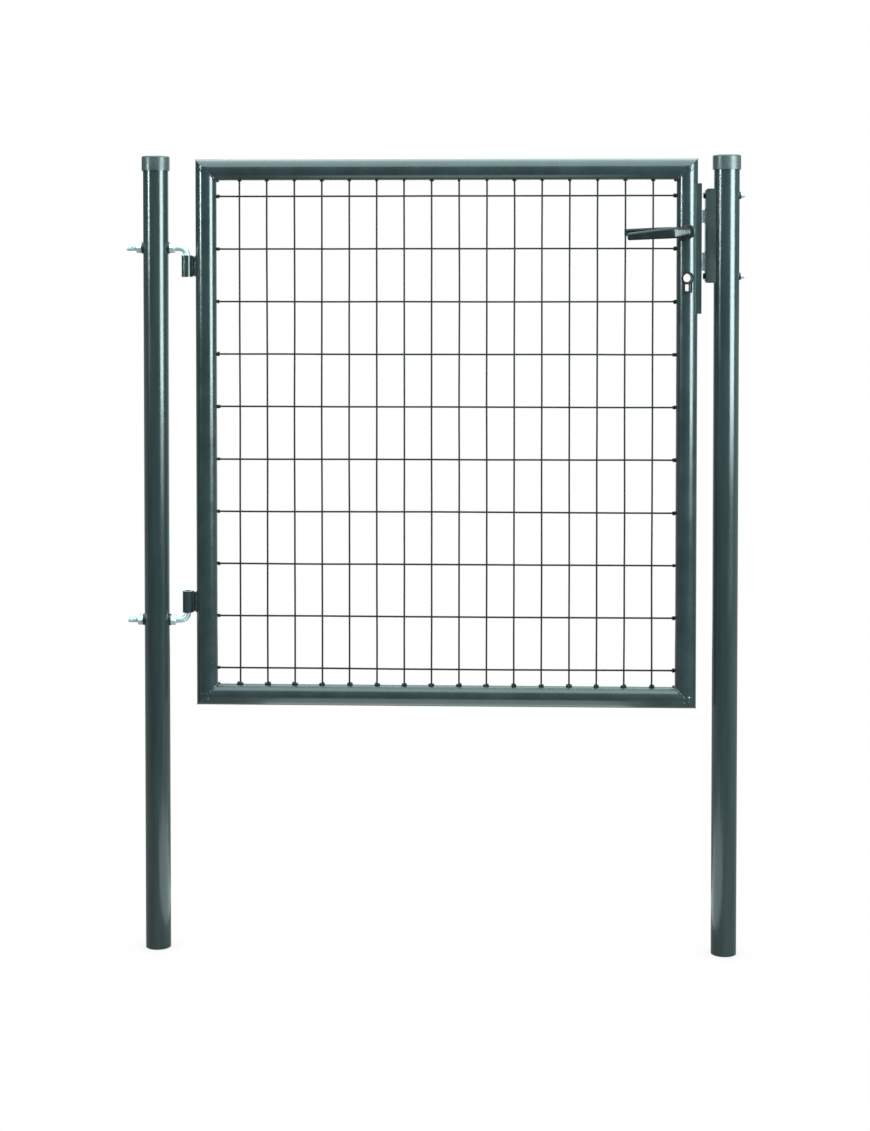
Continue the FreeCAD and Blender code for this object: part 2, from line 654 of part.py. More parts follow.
def dead_bolt():
    """The bolt that the key throws, shown thrown, with a notch for the cylinder's cam."""
    half_y = BOLT_THICKNESS / 2
    half_z = DEAD_BOLT_HEIGHT / 2
    back_x = LOCK_STILE_X + DEAD_BOLT_HEAD_BACK
    low = (back_x, -half_y, DEAD_BOLT_Z - half_z)
    head = block(low, (BOLT_NOSE_X, half_y, DEAD_BOLT_Z + half_z))
    half_t = DEAD_BOLT_TAIL_THICKNESS / 2
    tail_low = (back_x - DEAD_BOLT_TAIL, -half_t, DEAD_BOLT_Z - half_z)
    tail = block(tail_low, (back_x, half_t, DEAD_BOLT_Z + half_z - DEAD_BOLT_TAIL_THICKNESS))
    notch_at = point(back_x, -BOLT_THICKNESS, DEAD_BOLT_Z - half_z)
    notch = rod(2 * CAM_NOTCH_R, notch_at, Y_AXIS, 2 * BOLT_THICKNESS)
    return head.fuse(tail).cut(notch).removeSplitter()


def dead_bolt_detent():
    """A bent strip, fixed to the back of the case, that presses on the top of the dead bolt."""
    low_z = DEAD_BOLT_Z + DEAD_BOLT_HEIGHT / 2 + DETENT_GAP
    half = DEAD_BOLT_TAIL_THICKNESS / 2
    blade = block(
        (CASE_INNER_X, -half, low_z),
        (FACEPLATE_BACK_X - LATCH_HEAD_BACK, half, low_z + DETENT_THICKNESS),
    )
    upright = block(
        (CASE_INNER_X, -half, low_z),
        (CASE_INNER_X + DETENT_THICKNESS, half, low_z + DEAD_BOLT_TAIL),
    )
    return blade.fuse(upright).removeSplitter()


def latch_spring():
    """A coil spring as a plain sleeve, from the back of the case to the latch head."""
    z = LATCH_Z + LATCH_HEIGHT / 4
    length = LOCK_STILE_X + LATCH_HEAD_BACK - CASE_INNER_X
    inner = LATCH_SPRING_D - 2 * SPRING_WIRE
    return pipe(LATCH_SPRING_D, inner, point(CASE_INNER_X, 0, z), X_AXIS, length)


def follower_spring():
    """A coil spring as a plain sleeve, from the follower's foot to the faceplate."""
    start_x = LOCK_STILE_X + FOLLOWER_ARM_WIDTH / 2
    z = SPINDLE_Z - FOLLOWER_FOOT_REACH
    inner = FOLLOWER_SPRING_D - 2 * SPRING_WIRE
    length = FACEPLATE_BACK_X - start_x
    return pipe(FOLLOWER_SPRING_D, inner, point(start_x, 0, z), X_AXIS, length)


# handle

def turned_about_spindle(shape, degrees):
    shape.rotate(point(LOCK_STILE_X, 0, SPINDLE_Z), Y_AXIS, degrees)
    return shape


def spindle_hole(start_y, depth):
    half = SPINDLE_SIDE / 2 + SPINDLE_CLEAR
    return block(
        (LOCK_STILE_X - half, start_y, SPINDLE_Z - half),
        (LOCK_STILE_X + half, start_y + depth, SPINDLE_Z + half),
    )


def follower():
    """The drum that the spindle turns, with an arm that draws the latch and a sprung foot."""
    half_y = CASE_INNER_HALF - 2 * RUNNING_CLEAR
    centre = point(LOCK_STILE_X, -half_y, SPINDLE_Z)
    drum = rod(FOLLOWER_D, centre, Y_AXIS, 2 * half_y)
    boss_start = point(LOCK_STILE_X, -CASE_HALF, SPINDLE_Z)
    boss = rod(FOLLOWER_BOSS_D, boss_start, Y_AXIS, 2 * CASE_HALF)
    half_t = FOLLOWER_ARM_THICKNESS / 2
    half_w = FOLLOWER_ARM_WIDTH / 2
    arm = block(
        (LOCK_STILE_X - half_w, -half_t, SPINDLE_Z),
        (LOCK_STILE_X + half_w, half_t, SPINDLE_Z + FOLLOWER_ARM_REACH),
    )
    tip = point(LOCK_STILE_X, -half_t, SPINDLE_Z + FOLLOWER_ARM_REACH)
    arm = arm.fuse(rod(FOLLOWER_ARM_WIDTH, tip, Y_AXIS, FOLLOWER_ARM_THICKNESS))
    arm = turned_about_spindle(arm, FOLLOWER_ARM_LEAN)
    foot_half = FOLLOWER_SPRING_D / 2
    foot = block(
        (LOCK_STILE_X - half_w, -half_t, SPINDLE_Z - FOLLOWER_FOOT_REACH - foot_half),
        (LOCK_STILE_X + half_w, half_t, SPINDLE_Z),
    )
    body = drum.fuse([boss, arm, foot]).removeSplitter()
    return body.cut(spindle_hole(-LEAF_TUBE_D, 2 * LEAF_TUBE_D))


def spindle():
    half = SPINDLE_SIDE / 2
    return block(
        (LOCK_STILE_X - half, -SPINDLE_REACH, SPINDLE_Z - half),
        (LOCK_STILE_X + half, SPINDLE_REACH, SPINDLE_Z + half),
    )


def lever_bush(side):
    """A collar bedded on the round of the stile, in which a lever's neck turns."""
    start = point(LOCK_STILE_X, 0, SPINDLE_Z)
    collar = rod(BUSH_D, start, Y_AXIS * side, BUSH_FACE)
    foot = point(LOCK_STILE_X, 0, SPINDLE_Z - BUSH_D)
    collar = collar.cut(rod(LEAF_TUBE_D, foot, Z_AXIS, 2 * BUSH_D))
    return collar.cut(rod(NECK_D + 2 * RUNNING_CLEAR, start, Y_AXIS * side, BUSH_FACE))


def lever_plan(side):
    """The lever seen from above: a hub, a slanting elbow and a straight grip."""
    hub_r = LEVER_HUB_D / 2
    hub_y = BUSH_FACE + LEVER_GAP
    grip_back = LEVER_STANDOFF - LEVER_GRIP_DEPTH
    marks = (
        (hub_r, hub_y),
        (hub_r, LEVER_HUB_FACE),
        (-LEVER_ELBOW, LEVER_STANDOFF),
        (-LEVER_REACH, LEVER_STANDOFF),
        (-LEVER_REACH, grip_back),
        (-LEVER_ELBOW, grip_back),
        (-hub_r, LEVER_HUB_FACE),
        (-hub_r, hub_y),
    )
    low_z = SPINDLE_Z - LEVER_HUB_D
    corners = [point(LOCK_STILE_X + x, side * y, low_z) for x, y in marks]
    return extruded(corners, Z_AXIS * 2 * LEVER_HUB_D)


def lever_front(side):
    """The lever seen from the front: a round hub and a grip that tapers to its tip."""
    root, tip = LEVER_ROOT_HEIGHT / 2, LEVER_TIP_HEIGHT / 2
    marks = ((0, root), (0, -root), (-LEVER_REACH, -tip), (-LEVER_REACH, tip))
    corners = [point(LOCK_STILE_X + x, 0, SPINDLE_Z + z) for x, z in marks]
    depth = Y_AXIS * side * LEVER_STANDOFF
    hub = rod(LEVER_HUB_D, point(LOCK_STILE_X, 0, SPINDLE_Z), Y_AXIS * side, LEVER_STANDOFF)
    return extruded(corners, depth).fuse(hub).removeSplitter()


def lever(side, droop):
    body = lever_plan(side).common(lever_front(side)).removeSplitter()
    grip_x = LOCK_STILE_X - LEVER_ELBOW + CUT_MARGIN
    long_edges = [e for e in body.Edges if e.BoundBox.XMax < grip_x and e.Length > LEVER_ELBOW]
    body = body.makeFillet(LEVER_ROUND, long_edges)
    body = turned_about_spindle(body, -droop)
    neck_start = point(LOCK_STILE_X, side * (CASE_HALF + LEVER_GAP), SPINDLE_Z)
    neck = rod(NECK_D, neck_start, Y_AXIS * side, LEVER_HUB_FACE - CASE_HALF - LEVER_GAP)
    body = body.fuse(neck)
    depth = SPINDLE_REACH + LEVER_GAP
    body = body.cut(spindle_hole(min(0, side * depth), depth))
    grub_hole = GRUB_SCREW_D + 2 * NUT_THREAD_CLEAR
    return body.cut(rod(
        grub_hole, point(LOCK_STILE_X, side * GRUB_SCREW_OUT, SPINDLE_Z), Z_AXIS * -1, LEVER_HUB_D
    ))


def grub_screw(side):
    """The screw from below that clamps a lever to the spindle."""
    half = SPINDLE_SIDE / 2
    start = point(LOCK_STILE_X, side * GRUB_SCREW_OUT, SPINDLE_Z - half)
    return rod(GRUB_SCREW_D, start, Z_AXIS * -1, LEVER_HUB_D / 2 - half - GRUB_SCREW_INSET)


def build():
    os.makedirs("parts", exist_ok=True)
    save("hinge_post", [hinge_post()])
    save("latch_post", [latch_post()])
    save("hinge_post_cap", [post_cap(0)])
    save("latch_post_cap", [post_cap(LATCH_POST_X)])
    save("upper_hinge_bolt", [hinge_bolt(UPPER_HINGE_Z, -1)])
    save("lower_hinge_bolt", [hinge_bolt(LOWER_HINGE_Z, 1)])
    save("hinge_nuts", hinge_nuts())
    save("hinge_saddle_washers", hinge_saddles())
    save("keep_channel", [keep_channel()])
    save("keep_bolts", [keep_bolt(z) for z in KEEP_BOLT_HEIGHTS])
    save("keep_nuts", [keep_nut(z) for z in KEEP_BOLT_HEIGHTS])
    save("keep_saddle_washers", [keep_saddle(z) for z in KEEP_BOLT_HEIGHTS])

    save("hinge_stile", [stile(HINGE_STILE_X, LEAF_LEFT, 1)])
    save("lock_stile", [lock_stile()])
    save("top_rail", [rail(LEAF_TOP - TUBE_R, LEAF_TOP, -1)])
    save("bottom_rail", [rail(LEAF_BOTTOM + TUBE_R, LEAF_BOTTOM, 1)])
    save("vertical_wires", vertical_wires())
    save("horizontal_wires", horizontal_wires())
    save("upper_hinge_eye", [hinge_eye(UPPER_HINGE_Z, -1)])
    save("lower_hinge_eye", [hinge_eye(LOWER_HINGE_Z, 1)])
    save("hinge_eye_webs", [hinge_eye_web(UPPER_HINGE_Z, -1), hinge_eye_web(LOWER_HINGE_Z, 1)])

    save("lock_case", [lock_case()])
    save("case_cover", [case_cover()])
    save("case_rivets", case_rivets())
    save("seat_strip", [seat_strip()])
    save("faceplate", [faceplate()])
    save("faceplate_screws", faceplate_screws())
    save("cylinder_screw", [cylinder_screw()])
    save("front_escutcheon", [escutcheon(FRONT)])
    save("rear_escutcheon", [escutcheon(REAR)])
    save("latch_bolt", [latch_bolt()])
    save("latch_spring", [latch_spring()])
    save("dead_bolt", [dead_bolt()])
    save("dead_bolt_detent", [dead_bolt_detent()])

    save("follower", [follower()])
    save("follower_spring", [follower_spring()])
    save("spindle", [spindle()])
    save("front_lever_bush", [lever_bush(FRONT)])
    save("rear_lever_bush", [lever_bush(REAR)])
    save("front_lever", [lever(FRONT, FRONT_LEVER_DROOP)])
    save("rear_lever", [lever(REAR, REAR_LEVER_DROOP)])
    save("lever_grub_screws", [grub_screw(FRONT), grub_screw(REAR)])


build()
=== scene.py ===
import math

import bmesh
import bpy
from mathutils import Matrix, Vector


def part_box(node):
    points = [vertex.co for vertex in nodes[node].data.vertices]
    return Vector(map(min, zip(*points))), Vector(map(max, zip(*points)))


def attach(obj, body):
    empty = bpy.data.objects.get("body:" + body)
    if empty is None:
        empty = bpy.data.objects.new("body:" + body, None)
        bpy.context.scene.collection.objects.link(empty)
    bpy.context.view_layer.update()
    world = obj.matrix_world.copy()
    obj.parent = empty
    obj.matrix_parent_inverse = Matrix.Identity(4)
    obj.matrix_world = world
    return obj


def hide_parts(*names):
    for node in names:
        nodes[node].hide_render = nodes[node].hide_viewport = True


# A single garden gate: a welded tube leaf with a wire grid, hung on two J-bolt hinges
# between round posts. Metres, +Z up; the front of the gate faces -Y.
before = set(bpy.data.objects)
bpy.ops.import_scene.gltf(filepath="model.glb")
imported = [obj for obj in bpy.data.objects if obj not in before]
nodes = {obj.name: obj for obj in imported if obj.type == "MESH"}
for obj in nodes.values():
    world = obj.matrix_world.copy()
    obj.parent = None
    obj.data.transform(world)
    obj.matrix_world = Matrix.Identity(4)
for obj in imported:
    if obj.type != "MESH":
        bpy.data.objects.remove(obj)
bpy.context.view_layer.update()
scene = bpy.context.scene


# ---------------------------------------------------------------- camera
# The gate stands square to a long lens, seen from a little right of its middle,
# with the lens dropped so that the posts stay upright in the frame.
eye = Vector((0.6487, -3.9, 1.285))
pitch_down, turn_left = 0.0302, 0.0393
sensor_mm, lens_mm = 36.0, 65.56
lens_shift, lens_drop = 0.0167, -0.2
camera_data = bpy.data.cameras.new("studio_camera")
camera_data.sensor_width = sensor_mm
camera_data.lens = lens_mm
camera_data.shift_x, camera_data.shift_y = lens_shift, lens_drop
camera = bpy.data.objects.new("studio_camera", camera_data)
camera.location = eye
camera.rotation_euler = (math.pi / 2 - pitch_down, 0.0, turn_left)
scene.collection.objects.link(camera)
scene.camera = camera
scene.view_settings.view_transform = "Standard"


# ---------------------------------------------------------------- studio floor
# A pale sheet that runs up into the white of the room. Only the ground near the feet
# shows a soft contact shade. It is a stand for the gate and not part of it.
def wire_up(tree, start, socket, end, into):
    """Join one node's output to another's input."""
    tree.links.new(start.outputs[socket], end.inputs[into])


def ramp(tree, low, high, to_low, to_high):
    """Turn one range of a value into another."""
    node = tree.nodes.new("ShaderNodeMapRange")
    node.inputs["From Min"].default_value = low
    node.inputs["From Max"].default_value = high
    node.inputs["To Min"].default_value = to_low
    node.inputs["To Max"].default_value = to_high
    return node


floor_span = 60.0
floor_mesh = bpy.data.meshes.new("studio_floor")
floor_mesh.from_pydata(
    [(x * floor_span, y * floor_span, 0.0) for x, y in ((-1, -1), (1, -1), (1, 1), (-1, 1))],
    [], [(0, 1, 2, 3)],
)
floor = bpy.data.objects.new("studio_floor", floor_mesh)
scene.collection.objects.link(floor)
floor_paint = bpy.data.materials.new("studio_floor_paint")
floor_paint.use_nodes = True
tree = floor_paint.node_tree
tree.nodes.clear()
glow = tree.nodes.new("ShaderNodeEmission")
seen = tree.nodes.new("ShaderNodeLightPath")
contact_reach, contact_samples = 0.1, 8
contact = tree.nodes.new("ShaderNodeAmbientOcclusion")
contact.samples = contact_samples
contact.inputs["Distance"].default_value = contact_reach
shade = ramp(tree, 0.2, 0.9, 0.8, 1.0)
place = tree.nodes.new("ShaderNodeTexCoord")
split = tree.nodes.new("ShaderNodeSeparateXYZ")
front_edge, sheet_edge = -1.2, -0.5
dim_floor, lit_floor = 0.16, 0.5
sheet = ramp(tree, front_edge, sheet_edge, dim_floor, lit_floor)
pick = tree.nodes.new("ShaderNodeMix")
out = tree.nodes.new("ShaderNodeOutputMaterial")
wire_up(tree, contact, "AO", shade, "Value")
wire_up(tree, place, "Object", split, "Vector")
wire_up(tree, split, "Y", sheet, "Value")
wire_up(tree, seen, "Is Camera Ray", pick, "Factor")
wire_up(tree, sheet, "Result", pick, "A")
wire_up(tree, shade, "Result", pick, "B")
wire_up(tree, pick, "Result", glow, "Strength")
wire_up(tree, glow, "Emission", out, "Surface")
floor_mesh.materials.append(floor_paint)


# ---------------------------------------------------------------- studio light
# A tall wide softbox at the right, a narrow strip at the left and a panel overhead, in a
# dim room, with a roll of lit white paper behind the gate. The camera sees only white.
narrowest_lamp, steep = 0.05, 0.9


def softbox(name, low, high, facing, radiance, colour):
    """A rectangular lamp between two corners of its face, turned towards a point."""
    low, high, facing = Vector(low), Vector(high), Vector(facing)
    middle = (low + high) / 2
    aim = (facing - middle).normalized()
    upright = Vector((0, 0, 1)) if abs(aim.z) < steep else Vector((0, 1, 0))
    side = aim.cross(upright).normalized()
    upright = side.cross(aim)
    span = high - low
    data = bpy.data.lights.new(name, "AREA")
    data.shape = "RECTANGLE"
    data.size = max(abs(span.dot(side)), narrowest_lamp)
    data.size_y = max(abs(span.dot(upright)), narrowest_lamp)
    data.energy = radiance * math.pi * data.size * data.size_y
    data.color = colour
    lamp = bpy.data.objects.new(name, data)
    lamp.matrix_world = Matrix.Translation(middle) @ Matrix(
        (side, upright, -aim)
    ).transposed().to_4x4()
    lamp.visible_camera = False
    scene.collection.objects.link(lamp)


cool_white = (0.80, 0.98, 1.0)
for name, low, high, facing, radiance in (
    ("right_softbox", (3.34, -2.96, 0.78), (2.88, -0.48, 2.7), (0.54, 0.0, 1.74), 21.0),
    ("left_strip", (-2.92, -1.53, 1.40), (-2.66, -1.87, 2.6), (0.54, 0.0, 2.0), 62.0),
    ("overhead_panel", (-1.6, -2.7, 3.4), (2.7, 2.6, 3.4), (0.55, -0.05, 0.0), 4.0),
    ("back_paper", (-0.1, 1.6, 0.3), (1.25, 1.6, 2.5), (0.575, 0.0, 1.4), 1.2),
    ("floor_bounce", (0.15, -0.75, 0.01), (0.93, 0.3, 0.01), (0.54, -0.225, 1.0), 2.0),
):
    softbox(name, low, high, facing, radiance, cool_white)

room = bpy.data.worlds.new("white_room")
scene.world = room
room.use_nodes = True
tree = room.node_tree
tree.nodes.clear()
sky = tree.nodes.new("ShaderNodeBackground")
seen = tree.nodes.new("ShaderNodeLightPath")
place = tree.nodes.new("ShaderNodeTexCoord")
split = tree.nodes.new("ShaderNodeSeparateXYZ")
wall_foot, wall_head = -0.2, 0.9
dim_wall, lit_wall = 0.10, 0.5
walls = ramp(tree, wall_foot, wall_head, dim_wall, lit_wall)
pick = tree.nodes.new("ShaderNodeMix")
pick.inputs["B"].default_value = 1.0
out = tree.nodes.new("ShaderNodeOutputWorld")
wire_up(tree, place, "Generated", split, "Vector")
wire_up(tree, split, "Z", walls, "Value")
wire_up(tree, seen, "Is Camera Ray", pick, "Factor")
wire_up(tree, walls, "Result", pick, "A")
wire_up(tree, pick, "Result", sky, "Strength")
mix_amount, mix_plain, mix_other, mix_result = 0, 6, 7, 2
tint = tree.nodes.new("ShaderNodeMix")
tint.data_type = "RGBA"
tint.inputs[mix_plain].default_value = (*cool_white, 1.0)
tint.inputs[mix_other].default_value = (1.0, 1.0, 1.0, 1.0)
wire_up(tree, seen, "Is Camera Ray", tint, mix_amount)
wire_up(tree, tint, mix_result, sky, "Color")
wire_up(tree, sky, "Background", out, "Surface")


# ---------------------------------------------------------------- posts
# Two round steel tubes, powder coated a dark grey-green after drilling. The coat has a
# fine orange peel, faint streaks along the tube and a few nibs of dust under it.
def noise(tree, source, scale, detail, stretch=(1.0, 1.0, 1.0)):
    """A noise texture on the piece's own coordinates, in features per metre."""
    mapping = tree.nodes.new("ShaderNodeMapping")
    mapping.inputs["Scale"].default_value = stretch
    wire_up(tree, source, "Object", mapping, "Vector")
    texture = tree.nodes.new("ShaderNodeTexNoise")
    texture.inputs["Scale"].default_value = scale
    texture.inputs["Detail"].default_value = detail
    wire_up(tree, mapping, "Vector", texture, "Vector")
    return texture


def spread(tree, source, socket, low, high, to_low, to_high):
    """Stretch part of a texture's range over the values that a finish needs."""
    node = ramp(tree, low, high, to_low, to_high)
    wire_up(tree, source, socket, node, "Value")
    return node


def bumped(tree, height, socket, strength, distance, under=None):
    """Raise the surface by a texture, on top of an earlier bump if there is one."""
    node = tree.nodes.new("ShaderNodeBump")
    node.inputs["Strength"].default_value = strength
    node.inputs["Distance"].default_value = distance
    wire_up(tree, height, socket, node, "Height")
    if under is not None:
        wire_up(tree, under, "Normal", node, "Normal")
    return node


def tinted(tree, factor, socket, plain, other):
    """Mix two paint colours by a texture."""
    node = tree.nodes.new("ShaderNodeMix")
    node.data_type = "RGBA"
    node.inputs[mix_plain].default_value = (*plain, 1.0)
    node.inputs[mix_other].default_value = (*other, 1.0)
    wire_up(tree, factor, socket, node, mix_amount)
    return node


nibs_per_metre, nib_height, nib_paleness = 60.0, 0.00025, 3.2
peel_per_metre, peel_depth = 420.0, 0.00022


def powder_coat(name, dark, light, streaks, gloss=(0.16, 0.24), shine=0.55):
    """Sprayed powder, melted to a skin with an orange peel a couple of millimetres wide."""
    finish = bpy.data.materials.new(name)
    finish.use_nodes = True
    tree = finish.node_tree
    skin = tree.nodes["Principled BSDF"]
    place = tree.nodes.new("ShaderNodeTexCoord")
    cloud = noise(tree, place, 9.0, 4.0, streaks)
    cloudy = spread(tree, cloud, "Fac", 0.35, 0.65, 0.0, 1.0)
    paint = tinted(tree, cloudy, "Result", dark, light)
    nibs = tree.nodes.new("ShaderNodeTexVoronoi")
    nibs.inputs["Scale"].default_value = nibs_per_metre
    nibs.inputs["Randomness"].default_value = 1.0
    wire_up(tree, place, "Object", nibs, "Vector")
    nib = spread(tree, nibs, "Distance", 0.028, 0.045, 1.0, 0.0)
    dusty = tinted(tree, nib, "Result", dark, tuple(nib_paleness * c for c in light))
    wire_up(tree, paint, mix_result, dusty, mix_plain)
    wire_up(tree, dusty, mix_result, skin, "Base Color")
    fine = noise(tree, place, peel_per_metre, 2.0)
    rough = spread(tree, cloud, "Fac", 0.3, 0.7, *gloss)
    wire_up(tree, rough, "Result", skin, "Roughness")
    peel = bumped(tree, fine, "Fac", 0.22, peel_depth)
    lumps = bumped(tree, nib, "Result", 0.35, nib_height, peel)
    wire_up(tree, lumps, "Normal", skin, "Normal")
    skin.inputs["Specular IOR Level"].default_value = shine
    return finish


def painted(finish, *names):
    """Give CAD pieces their finish, by slot only."""
    for name in names:
        for slot in nodes[name].material_slots:
            slot.material = finish


post_paint = powder_coat(
    "post_powder_coat", dark=(0.0135, 0.0232, 0.0232), light=(0.0180, 0.0300, 0.0300),
    streaks=(9.0, 9.0, 0.6),
)
painted(post_paint, "hinge_post", "latch_post")


# ---------------------------------------------------------------- post caps
# Polyethylene caps pushed over the tube ends. They are matt, a shade greyer than the
# coat, with the fine grain of the mould.
def moulded(name, dark, light, roughness, grain):
    """A plastic with the texture that the mould leaves."""
    finish = bpy.data.materials.new(name)
    finish.use_nodes = True
    tree = finish.node_tree
    skin = tree.nodes["Principled BSDF"]
    place = tree.nodes.new("ShaderNodeTexCoord")
    cloud = noise(tree, place, 60.0, 3.0)
    mottle = spread(tree, cloud, "Fac", 0.3, 0.7, 0.0, 1.0)
    colour = tinted(tree, mottle, "Result", dark, light)
    wire_up(tree, colour, mix_result, skin, "Base Color")
    rough = spread(tree, cloud, "Fac", 0.3, 0.7, roughness - 0.05, roughness + 0.05)
    wire_up(tree, rough, "Result", skin, "Roughness")
    fine = noise(tree, place, grain, 3.0)
    wire_up(tree, bumped(tree, fine, "Fac", 0.35, 0.00015), "Normal", skin, "Normal")
    return finish


cap_plastic = moulded(
    "cap_polyethylene", dark=(0.028, 0.043, 0.043), light=(0.038, 0.055, 0.055),
    roughness=0.36, grain=900.0,
)
painted(cap_plastic, "hinge_post_cap", "latch_post_cap")


# ---------------------------------------------------------------- J-bolt hinges
# M12 rod, bent to a pin at one end and threaded through the post at the other, then
# bright zinc plated. Nuts clamp it on saddle washers, from both sides of the post.
def plated(name, colour, tint, roughness, metal=1.0):
    """Electroplated zinc: bright, a little cloudy, with a blue cast here and there."""
    finish = bpy.data.materials.new(name)
    finish.use_nodes = True
    tree = finish.node_tree
    skin = tree.nodes["Principled BSDF"]
    skin.inputs["Metallic"].default_value = metal
    place = tree.nodes.new("ShaderNodeTexCoord")
    cloud = noise(tree, place, 160.0, 4.0)
    mottle = spread(tree, cloud, "Fac", 0.35, 0.65, 0.0, 1.0)
    cast = tinted(tree, mottle, "Result", colour, tint)
    wire_up(tree, cast, mix_result, skin, "Base Color")
    rough = spread(tree, cloud, "Fac", 0.3, 0.7, *roughness)
    wire_up(tree, rough, "Result", skin, "Roughness")
    fine = noise(tree, place, 1100.0, 3.0)
    wire_up(tree, bumped(tree, fine, "Fac", 0.2, 0.0001), "Normal", skin, "Normal")
    return finish


def join_loops(shape, loops):
    """Faces between each loop of points and the next; a loop may be a single point."""
    for first, second in zip(loops, loops[1:]):
        for k in range(max(len(first), len(second))):
            n = k + 1
            corners = (
                first[k % len(first)], first[n % len(first)],
                second[n % len(second)], second[k % len(second)],
            )
            shape.faces.new(list(dict.fromkeys(corners)))


def tube_along(stations, sides):
    """A closed skin over round stations, each (centre, tangent, side, radius by angle)."""
    shape = bmesh.new()
    rings = []
    for centre, tangent, side, radius in stations:
        across = tangent.cross(side).normalized()
        ring = []
        for k in range(sides):
            angle = 2 * math.pi * k / sides
            outward = side * math.cos(angle) + across * math.sin(angle)
            ring.append(shape.verts.new(centre + outward * radius(angle)))
        rings.append(ring)
    join_loops(shape, rings)
    shape.faces.new(list(reversed(rings[0])))
    shape.faces.new(rings[-1])
    for face in shape.faces:
        face.smooth = True
    bmesh.ops.recalc_face_normals(shape, faces=shape.faces)
    return shape


def new_piece(name, shape, finish, body, stands_for=()):
    """Turn a shape into a finished piece that rides on its body."""
    mesh = bpy.data.meshes.new(name)
    if isinstance(shape, bmesh.types.BMesh):
        shape.to_mesh(mesh)
        shape.free()
    else:
        mesh = shape
        mesh.name = name
        mesh.materials.clear()
    mesh.materials.append(finish)
    piece = bpy.data.objects.new(name, mesh)
    scene.collection.objects.link(piece)
    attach(piece, body)
    if stands_for:
        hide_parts(*stands_for)
    return piece


def threaded_rod(start, along, side, length, diameter, pitch, depth, thread_length):
    """Stations of a rod whose first stretch has a rolled helical thread."""
    steps_per_turn = 8
    stations = []
    count = int(thread_length / pitch * steps_per_turn)
    crest = diameter / 2
    root = crest - depth
    for i in range(count + 1):
        s = thread_length * i / count
        lead_in = min(1.0, s / (1.2 * pitch)) if s < 2 * pitch else 1.0
        run_out = min(1.0, (thread_length - s) / (1.5 * pitch))

        def radius(angle, s=s, lead_in=lead_in, run_out=run_out):
            phase = (s / pitch - angle / (2 * math.pi)) % 1.0
            groove = max(0.0, min(1.0, 2.4 * abs(phase - 0.5) - 0.1))
            return crest - depth * (1.0 - groove * lead_in) * run_out if s > 0 else root

        stations.append((start + along * s, along, side, radius))
    stations.append((start + along * length, along, side, lambda angle: crest))
    return stations


hinge_zinc = plated(
    "bright_zinc", colour=(0.60, 0.71, 0.71), tint=(0.46, 0.56, 0.57),
    roughness=(0.42, 0.56), metal=0.85,
)
eye_low, eye_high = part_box("upper_hinge_eye")
pin_x = (eye_low.x + eye_high.x) / 2
bolt_radius, bend_radius, bend_steps = 0.006, 0.014, 16
m12_pitch, m12_depth, m12_thread = 0.00175, 0.0009, 0.093
pin_chamfer_start, pin_chamfer_radius = 0.97, 0.88 * bolt_radius
rod_sides = 40
depthwise = Vector((0, 1, 0))
for name, turn in (("upper_hinge_bolt", -1.0), ("lower_hinge_bolt", 1.0)):
    low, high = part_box(name)
    rod_z = high.z - bolt_radius if turn < 0 else low.z + bolt_radius
    pin_end_z = low.z if turn < 0 else high.z
    start = Vector((low.x, 0, rod_z))
    straight = pin_x - bend_radius - low.x
    stations = threaded_rod(
        start, Vector((1, 0, 0)), depthwise, straight, 2 * bolt_radius,
        m12_pitch, m12_depth, m12_thread,
    )
    bend_centre = Vector((pin_x - bend_radius, 0, rod_z + turn * bend_radius))
    for i in range(1, bend_steps + 1):
        swept = math.pi / 2 * i / bend_steps
        spot = bend_centre + Vector((math.sin(swept), 0, -turn * math.cos(swept))) * bend_radius
        tangent = Vector((math.cos(swept), 0, turn * math.sin(swept)))
        stations.append((spot, tangent, depthwise, lambda angle: bolt_radius))
    pin_start = stations[-1][0]
    pin_end = Vector((pin_x, 0, pin_end_z))
    tangent = Vector((0, 0, turn))
    for reach, radius in ((pin_chamfer_start, bolt_radius), (1.0, pin_chamfer_radius)):
        spot = pin_start.lerp(pin_end, reach)
        stations.append((spot, tangent, depthwise, lambda angle, r=radius: r))
    shape = tube_along(stations, rod_sides)
    piece_name = name.replace("hinge_bolt", "j_bolt")
    new_piece(piece_name, shape, hinge_zinc, "posts", (name,))
painted(hinge_zinc, "hinge_nuts")
saddle_plastic = moulded(
    "saddle_polyethylene", dark=(0.008, 0.010, 0.011), light=(0.014, 0.017, 0.018),
    roughness=0.4, grain=1200.0,
)
painted(saddle_plastic, "hinge_saddle_washers", "keep_saddle_washers")


# ---------------------------------------------------------------- leaf frame
# Four tubes, mitred, welded at the corners and linished flat on the faces, then coated
# with the same powder. The weld stays proud on the inside of each corner.
leaf_paint = powder_coat(
    "leaf_powder_coat", dark=(0.0140, 0.0240, 0.0240), light=(0.0185, 0.0305, 0.0305),
    streaks=(3.0, 3.0, 3.0),
)
painted(leaf_paint, "hinge_stile", "lock_stile", "top_rail", "bottom_rail", "seat_strip")
painted(leaf_paint, "upper_hinge_eye", "lower_hinge_eye", "hinge_eye_webs")

stile_low, stile_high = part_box("hinge_stile")
lock_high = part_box("lock_stile")[1]
tube_radius = (stile_high.x - stile_low.x) / 2


def evaluated_mesh(holder):
    """The plain mesh that a helper object's modifiers make; the helper is thrown away."""
    bpy.context.view_layer.update()
    depsgraph = bpy.context.evaluated_depsgraph_get()
    made = bpy.data.meshes.new_from_object(holder.evaluated_get(depsgraph))
    holder.modifiers.clear()
    bpy.data.objects.remove(holder)
    return made


